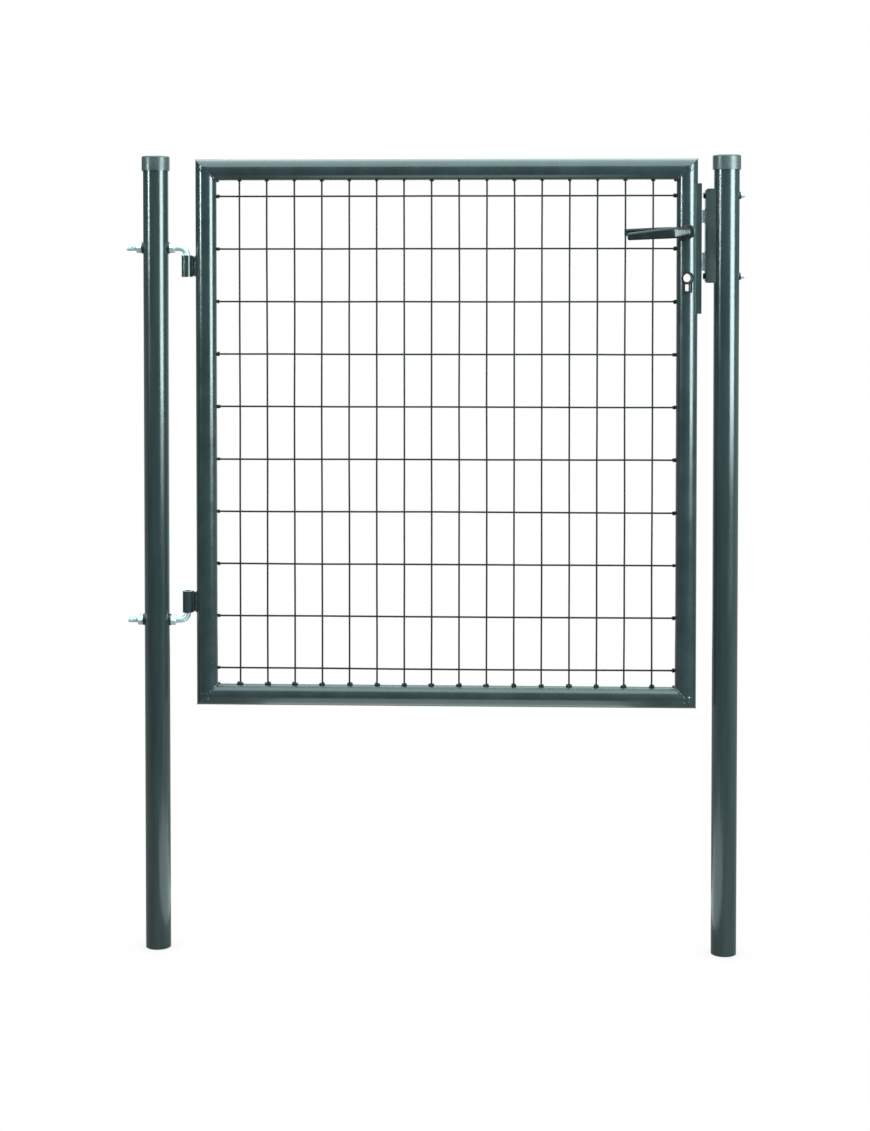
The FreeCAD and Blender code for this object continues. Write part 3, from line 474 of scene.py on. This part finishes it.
def steel_mesh(name, tree_group, values):
    """Run a node tree on an empty object and keep what it makes as a plain mesh."""
    holder = bpy.data.objects.new(name, bpy.data.meshes.new(name))
    scene.collection.objects.link(holder)
    modifier = holder.modifiers.new(name, "NODES")
    modifier.node_group = tree_group
    for item in tree_group.interface.items_tree:
        if item.item_type == "SOCKET" and item.in_out == "INPUT" and item.name in values:
            modifier[item.identifier] = values[item.name]
    return evaluated_mesh(holder)


def node_tree(name, inputs):
    """A geometry tree with named inputs; returns it with its input and output nodes."""
    group = bpy.data.node_groups.new(name, "GeometryNodeTree")
    for label, kind, value in inputs:
        socket = group.interface.new_socket(label, in_out="INPUT", socket_type=kind)
        socket.default_value = value
    group.interface.new_socket("Geometry", in_out="OUTPUT", socket_type="NodeSocketGeometry")
    return group, group.nodes.new("NodeGroupInput"), group.nodes.new("NodeGroupOutput")


def math_node(group, operation, first, second=None):
    """A sum on numbers; each side is a number or a (node, socket) pair."""
    node = group.nodes.new("ShaderNodeMath")
    node.operation = operation
    for index, value in enumerate((first, second)):
        if value is None:
            continue
        if isinstance(value, tuple):
            wire_up(group, value[0], value[1], node, index)
        else:
            node.inputs[index].default_value = value
    return (node, "Value")


def roughened(group, source, socket, grain_per_metre, amount):
    """Push a skin in and out along its own normals by a fine noise."""
    grain = group.nodes.new("ShaderNodeTexNoise")
    grain.inputs["Scale"].default_value = grain_per_metre
    facing = group.nodes.new("GeometryNodeInputNormal")
    push = math_node(group, "SUBTRACT", (grain, "Fac"), 0.5)
    push = math_node(group, "MULTIPLY", push, amount)
    shove = group.nodes.new("ShaderNodeVectorMath")
    shove.operation = "SCALE"
    wire_up(group, facing, "Normal", shove, 0)
    wire_up(group, *push, shove, "Scale")
    pushed = group.nodes.new("GeometryNodeSetPosition")
    wire_up(group, source, socket, pushed, "Geometry")
    wire_up(group, shove, "Vector", pushed, "Offset")
    return pushed


def coat_and_close(group, source, finish, made):
    """End a tree: smooth, made real, coated and handed to its output."""
    smooth = group.nodes.new("GeometryNodeSetShadeSmooth")
    wire_up(group, source, "Geometry", smooth, "Geometry")
    real = group.nodes.new("GeometryNodeRealizeInstances")
    wire_up(group, smooth, "Geometry", real, "Geometry")
    coated = group.nodes.new("GeometryNodeSetMaterial")
    coated.inputs["Material"].default_value = finish
    wire_up(group, real, "Geometry", coated, "Geometry")
    wire_up(group, coated, "Geometry", made, "Geometry")
    return group


def weld_seam_tree(finish):
    """A bead that follows the oval where two mitred tubes meet."""
    group, given, made = node_tree("mitre_weld", [
        ("Tube radius", "NodeSocketFloat", 0.019),
        ("Slope", "NodeSocketFloat", 1.0),
        ("Inner side", "NodeSocketFloat", 1.0),
        ("Ground bead", "NodeSocketFloat", 0.0005),
        ("Proud bead", "NodeSocketFloat", 0.0022),
        ("Ripple", "NodeSocketFloat", 0.0005),
        ("Seed", "NodeSocketFloat", 0.0),
        ("Corner", "NodeSocketVector", (0.0, 0.0, 0.0)),
    ])
    ring = group.nodes.new("GeometryNodeCurvePrimitiveCircle")
    ring.inputs["Resolution"].default_value = 220
    wire_up(group, given, "Tube radius", ring, "Radius")
    spot = group.nodes.new("GeometryNodeInputPosition")
    split = group.nodes.new("ShaderNodeSeparateXYZ")
    wire_up(group, spot, "Position", split, "Vector")
    rise = math_node(group, "MULTIPLY", (split, "X"), (given, "Slope"))
    joined = group.nodes.new("ShaderNodeCombineXYZ")
    wire_up(group, split, "X", joined, "X")
    wire_up(group, split, "Y", joined, "Y")
    wire_up(group, *rise, joined, "Z")
    lifted = group.nodes.new("GeometryNodeSetPosition")
    wire_up(group, ring, "Curve", lifted, "Geometry")
    wire_up(group, joined, "Vector", lifted, "Position")
    side = math_node(group, "DIVIDE", (split, "X"), (given, "Tube radius"))
    side = math_node(group, "MULTIPLY", side, (given, "Inner side"))
    inside = group.nodes.new("ShaderNodeMapRange")
    inside.interpolation_type = "SMOOTHSTEP"
    inside.inputs["From Min"].default_value = -0.1
    inside.inputs["From Max"].default_value = 0.95
    wire_up(group, *side, inside, "Value")
    wire_up(group, given, "Ground bead", inside, "To Min")
    wire_up(group, given, "Proud bead", inside, "To Max")
    speckle = group.nodes.new("ShaderNodeTexNoise")
    speckle.noise_dimensions = "4D"
    speckle.inputs["Scale"].default_value = 330.0
    speckle.inputs["Detail"].default_value = 2.0
    wire_up(group, given, "Seed", speckle, "W")
    uneven = math_node(group, "MULTIPLY_ADD", (speckle, "Fac"), 1.4)
    uneven[0].inputs[2].default_value = 0.3
    width = math_node(group, "MULTIPLY", (inside, "Result"), uneven)
    profile = group.nodes.new("GeometryNodeCurvePrimitiveCircle")
    profile.inputs["Resolution"].default_value = 10
    profile.inputs["Radius"].default_value = 1.0
    bead = group.nodes.new("GeometryNodeCurveToMesh")
    wire_up(group, lifted, "Geometry", bead, "Curve")
    wire_up(group, profile, "Curve", bead, "Profile Curve")
    wire_up(group, *width, bead, "Scale")
    moved = group.nodes.new("GeometryNodeTransform")
    wire_up(group, bead, "Mesh", moved, "Geometry")
    wire_up(group, given, "Corner", moved, "Translation")
    rippled = roughened(group, moved, "Geometry", 700.0, (given, "Ripple"))
    return coat_and_close(group, rippled, finish, made)


seam_tree = weld_seam_tree(leaf_paint)
seams, lumps = bmesh.new(), bmesh.new()
leaf_left, leaf_right = stile_low.x, lock_high.x
leaf_bottom, leaf_top = stile_low.z, stile_high.z
pad_radius, pad_depth, pad_proud = 0.0095, 0.0034, 0.0006
drip_radius, drip_sunk = 0.0034, 0.0002
for seed, (outer_x, outer_z, inward, slope) in enumerate((
    (leaf_left, leaf_top, 1.0, -1.0),
    (leaf_right, leaf_top, -1.0, 1.0),
    (leaf_left, leaf_bottom, 1.0, 1.0),
    (leaf_right, leaf_bottom, -1.0, -1.0),
)):
    middle = Vector((outer_x + inward * tube_radius, 0.0, outer_z + slope * inward * tube_radius))
    seams.from_mesh(steel_mesh("mitre_weld", seam_tree, {
        "Tube radius": tube_radius, "Slope": slope, "Inner side": inward,
        "Seed": 3.7 * seed, "Corner": tuple(middle),
    }))
    for side in (-1.0, 1.0):
        face = middle + Vector((0.0, side * (tube_radius + pad_proud - pad_depth), 0.0))
        pad = Matrix.Diagonal((pad_radius, pad_depth, pad_radius, 1.0))
        bmesh.ops.create_icosphere(
            lumps, subdivisions=4, radius=1.0, matrix=Matrix.Translation(face) @ pad
        )
    inner = middle + Vector((inward, 0.0, slope * inward)) * (tube_radius - drip_sunk)
    for shift, size in ((0.0, 1.0), (0.0028, 0.72)):
        drip = inner + Vector((inward * shift, 0.0, slope * inward * 0.4 * shift))
        bmesh.ops.create_icosphere(
            lumps, subdivisions=3, radius=drip_radius * size, matrix=Matrix.Translation(drip)
        )
for face in lumps.faces:
    face.smooth = True
new_piece("ground_mitre_middles", lumps, leaf_paint, "leaf")
new_piece("mitre_welds", seams, leaf_paint, "leaf")


# ---------------------------------------------------------------- hinge eyes
# Short lengths of thick tube on the hinge stile. Their coat is faced off at the ends,
# so the bare ring shines there, and a stitched weld joins them to the stile.
def weld_row_tree(finish):
    """A row of overlapping weld puddles between two points."""
    group, given, made = node_tree("weld_row", [
        ("Start", "NodeSocketVector", (0.0, 0.0, 0.0)),
        ("End", "NodeSocketVector", (0.0, 0.0, 0.02)),
        ("Puddles", "NodeSocketInt", 9),
        ("Puddle radius", "NodeSocketFloat", 0.002),
        ("Roughness", "NodeSocketFloat", 0.0009),
        ("Seed", "NodeSocketInt", 1),
    ])
    line = group.nodes.new("GeometryNodeMeshLine")
    line.mode = "END_POINTS"
    wire_up(group, given, "Puddles", line, "Count")
    wire_up(group, given, "Start", line, "Start Location")
    wire_up(group, given, "End", line, "Offset")
    puddle = group.nodes.new("GeometryNodeMeshIcoSphere")
    puddle.inputs["Subdivisions"].default_value = 2
    wire_up(group, given, "Puddle radius", puddle, "Radius")
    size = group.nodes.new("FunctionNodeRandomValue")
    size.data_type = "FLOAT_VECTOR"
    size.inputs[0].default_value = (0.8, 0.8, 0.8)
    size.inputs[1].default_value = (1.2, 1.2, 1.2)
    wire_up(group, given, "Seed", size, "Seed")
    row = group.nodes.new("GeometryNodeInstanceOnPoints")
    wire_up(group, line, "Mesh", row, "Points")
    wire_up(group, puddle, "Mesh", row, "Instance")
    wire_up(group, size, "Value", row, "Scale")
    real = group.nodes.new("GeometryNodeRealizeInstances")
    wire_up(group, row, "Instances", real, "Geometry")
    lumpy = roughened(group, real, "Geometry", 420.0, (given, "Roughness"))
    return coat_and_close(group, lumpy, finish, made)


row_tree = weld_row_tree(leaf_paint)
eye_welds = bmesh.new()
web_half, eye_radius, web_inset = 0.003, 0.010, 0.0025
eye_gap, stile_sunk = 0.0005, 0.0002
eyes = ("upper_hinge_eye", "lower_hinge_eye")
seed = 1
for eye in eyes:
    low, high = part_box(eye)
    for y in (-web_half, web_half):
        for x in (pin_x + eye_radius + eye_gap, leaf_left - stile_sunk):
            eye_welds.from_mesh(steel_mesh("eye_weld", row_tree, {
                "Start": (x, y, low.z + web_inset), "End": (x, y, high.z - web_inset),
                "Puddles": 17, "Puddle radius": 0.0021, "Seed": seed,
            }))
            seed += 1
new_piece("hinge_eye_welds", eye_welds, leaf_paint, "leaf")

bare_zinc = plated(
    "faced_eye_end", colour=(0.80, 0.88, 0.90), tint=(0.66, 0.76, 0.79), roughness=(0.30, 0.45)
)
ring_outer, ring_inner, ring_proud, ring_sides = 0.0096, 0.00615, 0.00012, 64
rings = bmesh.new()
for eye in eyes:
    low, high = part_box(eye)
    for z, outward in ((low.z, -1.0), (high.z, 1.0)):
        loops = []
        for radius, lift in (
            (ring_inner, -ring_proud), (ring_inner, ring_proud),
            (ring_outer, ring_proud), (ring_outer, -ring_proud),
        ):
            loops.append([
                rings.verts.new((
                    pin_x + radius * math.cos(2 * math.pi * k / ring_sides),
                    radius * math.sin(2 * math.pi * k / ring_sides),
                    z + outward * lift,
                ))
                for k in range(ring_sides)
            ])
        join_loops(rings, loops + loops[:1])
bmesh.ops.recalc_face_normals(rings, faces=rings.faces)
new_piece("eye_bare_ends", rings, bare_zinc, "leaf")


# ---------------------------------------------------------------- wire grid
# Drawn wire, resistance welded at every crossing and tacked to the frame with a blob at each end,
# then coated with the leaf. Their coat is a darker, duller copy of the leaf's: the darker colour
# is painted shade that keeps the thin wires dark. No wire is quite straight.
def grid_tree(finish):
    """Both sets of wires, the nuggets where they cross and the blobs at their ends."""
    group, given, made = node_tree("wire_grid", [
        ("Uprights", "NodeSocketInt", 16),
        ("Rows", "NodeSocketInt", 10),
        ("First upright", "NodeSocketFloat", 0.1),
        ("Last upright", "NodeSocketFloat", 0.9),
        ("Lowest row", "NodeSocketFloat", 0.5),
        ("Highest row", "NodeSocketFloat", 1.4),
        ("Left end", "NodeSocketFloat", 0.1),
        ("Right end", "NodeSocketFloat", 0.9),
        ("Lower end", "NodeSocketFloat", 0.5),
        ("Upper end", "NodeSocketFloat", 1.4),
        ("Wire radius", "NodeSocketFloat", 0.0015),
        ("Drift", "NodeSocketFloat", 0.0024),
    ])

    def value(name):
        return (given, name)

    def vector(x, y, z):
        node = group.nodes.new("ShaderNodeCombineXYZ")
        for index, part in enumerate((x, y, z)):
            if isinstance(part, tuple):
                wire_up(group, *part, node, index)
            else:
                node.inputs[index].default_value = part
        return node

    wires_unlike, waves_per_metre = 31.0, 2.6

    def drift(across, along, shift):
        """How far a wire strays sideways: its own slow wave, by where it stands."""
        own = math_node(group, "MULTIPLY", across, wires_unlike)
        slow = math_node(group, "MULTIPLY", along, waves_per_metre)
        at = vector(own, slow, shift)
        wave = group.nodes.new("ShaderNodeTexNoise")
        wave.inputs["Scale"].default_value = 1.0
        wave.inputs["Detail"].default_value = 1.5
        wire_up(group, at, "Vector", wave, "Vector")
        centred = math_node(group, "SUBTRACT", (wave, "Fac"), 0.5)
        return math_node(group, "MULTIPLY", centred, value("Drift"))

    def line(start, end, count):
        node = group.nodes.new("GeometryNodeMeshLine")
        node.mode = "END_POINTS"
        wire_up(group, start, "Vector", node, "Start Location")
        wire_up(group, end, "Vector", node, "Offset")
        wire_up(group, *count, node, "Count")
        return node

    def placed(points, thing, socket):
        node = group.nodes.new("GeometryNodeInstanceOnPoints")
        wire_up(group, points, "Mesh", node, "Points")
        wire_up(group, thing, socket, node, "Instance")
        real = group.nodes.new("GeometryNodeRealizeInstances")
        wire_up(group, node, "Instances", real, "Geometry")
        return real

    def strayed(source, socket, sideways, upwards):
        """Shift what stands at each point by the drift of its wires."""
        spot = group.nodes.new("GeometryNodeInputPosition")
        split = group.nodes.new("ShaderNodeSeparateXYZ")
        wire_up(group, spot, "Position", split, "Vector")
        x = drift((split, "X"), (split, "Z"), 0.0) if sideways else 0.0
        z = drift((split, "Z"), (split, "X"), 9.0) if upwards else 0.0
        node = group.nodes.new("GeometryNodeSetPosition")
        wire_up(group, source, socket, node, "Geometry")
        wire_up(group, vector(x, 0.0, z), "Vector", node, "Offset")
        return node

    joined = group.nodes.new("GeometryNodeJoinGeometry")
    profile = group.nodes.new("GeometryNodeCurvePrimitiveCircle")
    profile.inputs["Resolution"].default_value = 10
    wire_up(group, given, "Wire radius", profile, "Radius")
    back = math_node(group, "MULTIPLY", value("Wire radius"), -1.0)

    def wires(first, last, count, reach, sideways):
        """A rack of like wires, each bent by its own drift and given its skin."""
        run = group.nodes.new("GeometryNodeCurvePrimitiveLine")
        wire_up(group, reach, "Vector", run, "End")
        cut = group.nodes.new("GeometryNodeResampleCurve")
        cut.inputs["Count"].default_value = 90
        wire_up(group, run, "Curve", cut, "Curve")
        rack = placed(line(first, last, count), cut, "Curve")
        bent = strayed(rack, "Geometry", sideways, not sideways)
        skin = group.nodes.new("GeometryNodeCurveToMesh")
        skin.inputs["Fill Caps"].default_value = True
        wire_up(group, bent, "Geometry", skin, "Curve")
        wire_up(group, profile, "Curve", skin, "Profile Curve")
        wire_up(group, skin, "Mesh", joined, "Geometry")

    height = math_node(group, "SUBTRACT", value("Upper end"), value("Lower end"))
    width = math_node(group, "SUBTRACT", value("Right end"), value("Left end"))
    wires(
        vector(value("First upright"), back, value("Lower end")),
        vector(value("Last upright"), back, value("Lower end")),
        value("Uprights"), vector(0.0, 0.0, height), True,
    )
    wires(
        vector(value("Left end"), value("Wire radius"), value("Lowest row")),
        vector(value("Left end"), value("Wire radius"), value("Highest row")),
        value("Rows"), vector(width, 0.0, 0.0), False,
    )

    def blobs(standing, radius, low, high, seed, subdivisions, lump):
        """Blobs of weld on the points of a mesh, each with its own size."""
        points = group.nodes.new("GeometryNodeMeshToPoints")
        wire_up(group, standing, "Geometry", points, "Mesh")
        blob = group.nodes.new("GeometryNodeMeshIcoSphere")
        blob.inputs["Subdivisions"].default_value = subdivisions
        blob.inputs["Radius"].default_value = radius
        size = group.nodes.new("FunctionNodeRandomValue")
        size.data_type = "FLOAT_VECTOR"
        size.inputs[0].default_value = low
        size.inputs[1].default_value = high
        size.inputs["Seed"].default_value = seed
        node = group.nodes.new("GeometryNodeInstanceOnPoints")
        wire_up(group, points, "Points", node, "Points")
        wire_up(group, blob, "Mesh", node, "Instance")
        wire_up(group, size, "Value", node, "Scale")
        real = group.nodes.new("GeometryNodeRealizeInstances")
        wire_up(group, node, "Instances", real, "Geometry")
        lumpy = roughened(group, real, "Geometry", 300.0, lump)
        wire_up(group, lumpy, "Geometry", joined, "Geometry")

    # nuggets at the crossings
    column = line(
        vector(0.0, 0.0, value("Lowest row")), vector(0.0, 0.0, value("Highest row")),
        value("Rows"),
    )
    across = line(
        vector(value("First upright"), 0.0, 0.0), vector(value("Last upright"), 0.0, 0.0),
        value("Uprights"),
    )
    crossings = strayed(placed(across, column, "Mesh"), "Geometry", True, True)
    blobs(crossings, 0.0021, (0.9, 0.75, 0.9), (1.25, 0.95, 1.25), 4, 2, 0.0006)

    # blobs where the wires end on the frame
    def ends(first, last, count, sideways, *shape):
        row = strayed(line(first, last, count), "Mesh", sideways, not sideways)
        radius, low, high, seed, lump = shape
        blobs(row, radius, low, high, seed, 3, lump)

    sunk, lobe, side_reach, forward = 0.0006, 0.0024, 0.0026, -1.9
    upper = math_node(group, "ADD", value("Upper end"), sunk)
    lower = math_node(group, "ADD", value("Lower end"), sunk)
    ahead = math_node(group, "MULTIPLY", value("Wire radius"), forward)
    ends(
        vector(value("First upright"), back, upper), vector(value("Last upright"), back, upper),
        value("Uprights"), True, 0.0036, (0.75, 0.7, 0.75), (1.3, 1.0, 1.2), 11, 0.0026,
    )
    for shift, seed in ((-lobe, 12), (lobe, 13)):
        first = math_node(group, "ADD", value("First upright"), shift)
        last = math_node(group, "ADD", value("Last upright"), shift)
        ends(
            vector(first, ahead, lower), vector(last, ahead, lower),
            value("Uprights"), True, 0.0038, (0.6, 0.8, 0.75), (1.15, 1.1, 1.3), seed, 0.0028,
        )
    for end, inward, seed in (("Left end", 1.0, 14), ("Right end", -1.0, 15)):
        x = math_node(group, "ADD", value(end), side_reach * inward)
        ends(
            vector(x, value("Wire radius"), value("Lowest row")),
            vector(x, value("Wire radius"), value("Highest row")),
            value("Rows"), False, 0.0040, (0.8, 0.7, 0.75), (1.45, 1.0, 1.1), seed, 0.0028,
        )

    return coat_and_close(group, joined, finish, made)


# The leaf's powder with its colour darkened: the darkening is painted shade on the thin wires, not
# a coat of their own.
wire_coat_with_painted_shade = powder_coat(
    "wire_powder_coat_painted_shade", dark=(0.0045, 0.0090, 0.0090), light=(0.0075, 0.0130, 0.0130),
    streaks=(2.0, 2.0, 2.0), gloss=(0.45, 0.6), shine=0.2,
)
upright_low, upright_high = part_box("vertical_wires")
row_low, row_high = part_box("horizontal_wires")
wire_radius = (upright_high.y - upright_low.y) / 2
grid = steel_mesh("wire_grid", grid_tree(wire_coat_with_painted_shade), {
    "Uprights": 16, "Rows": 10,
    "First upright": upright_low.x + wire_radius, "Last upright": upright_high.x - wire_radius,
    "Lowest row": row_low.z + wire_radius, "Highest row": row_high.z - wire_radius,
    "Left end": row_low.x, "Right end": row_high.x,
    "Lower end": upright_low.z, "Upper end": upright_high.z,
    "Wire radius": wire_radius,
})
new_piece(
    "wire_grid", grid, wire_coat_with_painted_shade, "leaf", ("vertical_wires", "horizontal_wires")
)


# ---------------------------------------------------------------- lock and faceplate
# A mortice lock in a steel case, slid into the stile. Only its bolts, the faceplate and
# the escutcheons show. The bolts are sintered steel, left rough and grey.
lock_steel = plated(
    "lock_steel", colour=(0.62, 0.69, 0.69), tint=(0.40, 0.46, 0.46), roughness=(0.45, 0.6)
)
painted(lock_steel, "lock_case", "case_cover", "case_rivets", "spindle", "follower")
painted(lock_steel, "latch_bolt", "dead_bolt")
spring_steel = plated(
    "spring_steel", colour=(0.42, 0.43, 0.44), tint=(0.30, 0.31, 0.32), roughness=(0.3, 0.42)
)
painted(spring_steel, "latch_spring", "follower_spring", "dead_bolt_detent")
painted(hinge_zinc, "faceplate_screws", "cylinder_screw")
plate_paint = powder_coat(
    "keep_powder_coat", dark=(0.0065, 0.0135, 0.0135), light=(0.0095, 0.0180, 0.0180),
    streaks=(4.0, 4.0, 4.0), gloss=(0.34, 0.44), shine=0.4,
)


def blank_of(name, shape):
    """A helper object that carries a shape while its modifiers run."""
    mesh = bpy.data.meshes.new(name)
    shape.to_mesh(mesh)
    shape.free()
    blank = bpy.data.objects.new(name + "_blank", mesh)
    scene.collection.objects.link(blank)
    return blank


def softened(node, name, finish, body, edge, segments=3):
    """A copy of a CAD piece with its sharp edges broken, as pressing and coating leave them."""
    shape = bmesh.new()
    shape.from_mesh(nodes[node].data)
    bmesh.ops.remove_doubles(shape, verts=shape.verts, dist=1e-6)
    bmesh.ops.dissolve_limit(
        shape, angle_limit=math.radians(1.0), verts=shape.verts, edges=shape.edges
    )
    for face in shape.faces:
        face.smooth = True
    blank = blank_of(name, shape)
    bevel = blank.modifiers.new("broken_edges", "BEVEL")
    bevel.width = edge
    bevel.segments = segments
    bevel.limit_method = "ANGLE"
    bevel.angle_limit = math.radians(40)
    bevel.harden_normals = True
    new_piece(name, evaluated_mesh(blank), finish, body, (node,))


softened("faceplate", "lock_faceplate", plate_paint, "leaf", 0.0004)


# ---------------------------------------------------------------- handle
# Die-cast levers on a square spindle, coated nearly black. The neck slants out of a
# round hub and runs into a flat grip that narrows towards its tip.
handle_paint = powder_coat(
    "handle_powder_coat", dark=(0.0030, 0.0062, 0.0070), light=(0.0048, 0.0090, 0.0098),
    streaks=(5.0, 5.0, 5.0), gloss=(0.26, 0.36), shine=0.4,
)
painted(handle_paint, "front_lever_bush", "rear_lever_bush")
softened("front_escutcheon", "front_cylinder_rose", handle_paint, "leaf", 0.0007)
softened("rear_escutcheon", "rear_cylinder_rose", handle_paint, "leaf", 0.0007)
painted(lock_steel, "lever_grub_screws")

spindle_low, spindle_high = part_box("spindle")
spindle_x = (spindle_low.x + spindle_high.x) / 2
spindle_z = (spindle_low.z + spindle_high.z) / 2
lever_low, lever_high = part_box("front_lever")
lever_face = -lever_low.y
lever_reach = spindle_x - lever_low.x
neck_start = -lever_high.y
bush_face = -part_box("front_lever_bush")[0].y
front_droop, rear_droop = math.radians(5.0), 0.0
grub_radius, clamp_hole_radius = 0.0025, 0.00255
clamp_hole_depth, clamp_hole_middle = 0.010, -0.0104
grub_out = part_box("lever_grub_screws")[1].y - grub_radius


def lever_blank(side):
    """The hub turned about the spindle, and the arm as rounded slices along its line."""
    blank = bmesh.new()
    hub_face, hub_foot = 0.0325, bush_face + 0.0003
    hub = (
        (0.0, hub_face), (0.0108, hub_face), (0.0122, 0.0320), (0.0130, 0.0306),
        (0.0132, 0.0288), (0.0132, hub_foot), (0.0080, hub_foot), (0.0080, neck_start),
        (0.0, neck_start),
    )
    turns = 64
    loops = []
    for radius, out in hub:
        points = turns if radius else 1
        loops.append([
            blank.verts.new((
                radius * math.cos(2 * math.pi * k / turns), out,
                radius * math.sin(2 * math.pi * k / turns),
            ))
            for k in range(points)
        ])
    join_loops(blank, loops)
    depth = 0.006
    line = lever_face - depth
    # along the arm, out from the leaf, half height, half depth, squareness
    slices = (
        (0.0075, 0.0225, 0.0070, 0.0048, 2.4), (0.0010, 0.0268, 0.0082, 0.0056, 2.6),
        (-0.0085, 0.0328, 0.0092, 0.0058, 3.0), (-0.0175, 0.0384, 0.0100, 0.0059, 3.6),
        (-0.0235, line - 0.0020, 0.0104, depth, 4.2), (-0.0285, line - 0.0003, 0.0106, depth, 5.0),
        (-0.0340, line, 0.0105, depth, 5.4), (-0.0450, line, 0.0100, depth, 5.6),
        (-0.0800, line, 0.0084, depth, 5.6), (-lever_reach + 0.0045, line, 0.0070, depth, 5.2),
        (-lever_reach + 0.0014, line, 0.0066, depth - 0.0006, 4.2),
        (-lever_reach + 0.0001, line, 0.0058, depth - 0.0016, 3.2),
    )
    points = [Vector((cut[0], cut[1], 0.0)) for cut in slices]
    around, crowned = 48, 0.4
    rings = []
    for i, (u, v, tall, deep, square) in enumerate(slices):
        ahead = (points[min(i + 1, len(points) - 1)] - points[max(i - 1, 0)]).normalized()
        out = Vector((-ahead.y, ahead.x, 0.0))
        if out.y < 0:
            out = -out
        ring = []
        for k in range(around):
            angle = 2 * math.pi * k / around
            c, sn = math.cos(angle), math.sin(angle)
            edge = square if sn < 0 else crowned * square + 0.9
            across = math.copysign(abs(c) ** (2 / edge), c) * deep
            up = math.copysign(abs(sn) ** (2 / edge), sn) * tall
            ring.append(blank.verts.new(points[i] + out * across + Vector((0, 0, up))))
        rings.append(ring)
    join_loops(blank, rings)
    blank.faces.new(rings[0])
    blank.faces.new(list(reversed(rings[-1])))
    if side < 0:
        for vert in blank.verts:
            vert.co.y = -vert.co.y
    bmesh.ops.recalc_face_normals(blank, faces=blank.faces)
    return blank


def lever(name, side, droop, node):
    """Cast the arm and the hub into one skin, drill the clamp hole and set its angle."""
    casting = blank_of(name, lever_blank(side))
    cast = casting.modifiers.new("cast_skin", "REMESH")
    cast.mode = "VOXEL"
    cast.voxel_size = 0.0006
    cast.use_smooth_shade = True
    fettled = casting.modifiers.new("fettled", "SMOOTH")
    fettled.factor = 0.5
    fettled.iterations = 3
    drill = bmesh.new()
    bmesh.ops.create_cone(
        drill, cap_ends=True, segments=32, depth=clamp_hole_depth,
        radius1=clamp_hole_radius, radius2=clamp_hole_radius,
        matrix=Matrix.Translation((0.0, side * grub_out, clamp_hole_middle)),
    )
    drill_bit = blank_of(name + "_drill", drill)
    drilled = casting.modifiers.new("clamp_hole", "BOOLEAN")
    drilled.operation = "DIFFERENCE"
    drilled.object = drill_bit
    made = evaluated_mesh(casting)
    bpy.data.objects.remove(drill_bit)
    made.transform(
        Matrix.Translation((spindle_x, 0.0, spindle_z)) @ Matrix.Rotation(-droop, 4, "Y")
    )
    new_piece(name, made, handle_paint, "handle", (node,))


lever("front_cast_lever", -1.0, front_droop, "front_lever")
lever("rear_cast_lever", 1.0, rear_droop, "rear_lever")


# ---------------------------------------------------------------- keep
# A pressed channel that stands on the latch post. Two M6 bolts run through the post:
# their heads are blacked and their threaded ends are bright.
softened("keep_channel", "pressed_keep", plate_paint, "posts", 0.0012, 5)
painted(hinge_zinc, "keep_nuts")

bolt_low, bolt_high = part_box("keep_bolts")
keep_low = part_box("keep_channel")[0]
m6_radius, m6_pitch, m6_depth, m6_thread, shank_sides = 0.003, 0.001, 0.00055, 0.022, 28
head_flats, head_sides = 0.010, 48
head_thickness = keep_low.x - bolt_low.x
# out from the top of the head, and how far its corners reach past half its flats
head_profile = ((0.0, 0.93), (0.0006, 1.08), (0.0009, 1.2), (head_thickness, 1.2))


def hexagon(most):
    """Half the width of a hexagonal head at each angle, its corners chamfered off."""
    def reach(angle):
        turn = (angle + math.pi / 6) % (math.pi / 3) - math.pi / 6
        return min(head_flats / 2 / math.cos(turn), head_flats / 2 * most)
    return reach


def add_to(whole, part):
    """Put one shape into another."""
    carrier = bpy.data.meshes.new("carrier")
    part.to_mesh(carrier)
    part.free()
    whole.from_mesh(carrier)
    bpy.data.meshes.remove(carrier)


head_shape, shank_shape = bmesh.new(), bmesh.new()
for z in (bolt_low.z + head_flats / 2, bolt_high.z - head_flats / 2):
    add_to(shank_shape, tube_along(threaded_rod(
        Vector((bolt_high.x, 0, z)), Vector((-1, 0, 0)), depthwise, bolt_high.x - keep_low.x,
        2 * m6_radius, m6_pitch, m6_depth, m6_thread,
    ), shank_sides))
    head = tube_along([
        (Vector((bolt_low.x + out, 0, z)), Vector((1, 0, 0)), depthwise, hexagon(most))
        for out, most in head_profile
    ], head_sides)
    for face in head.faces:
        face.smooth = False
    add_to(head_shape, head)
new_piece("keep_bolt_shanks", shank_shape, hinge_zinc, "posts", ("keep_bolts",))
new_piece("keep_bolt_heads", head_shape, handle_paint, "posts")
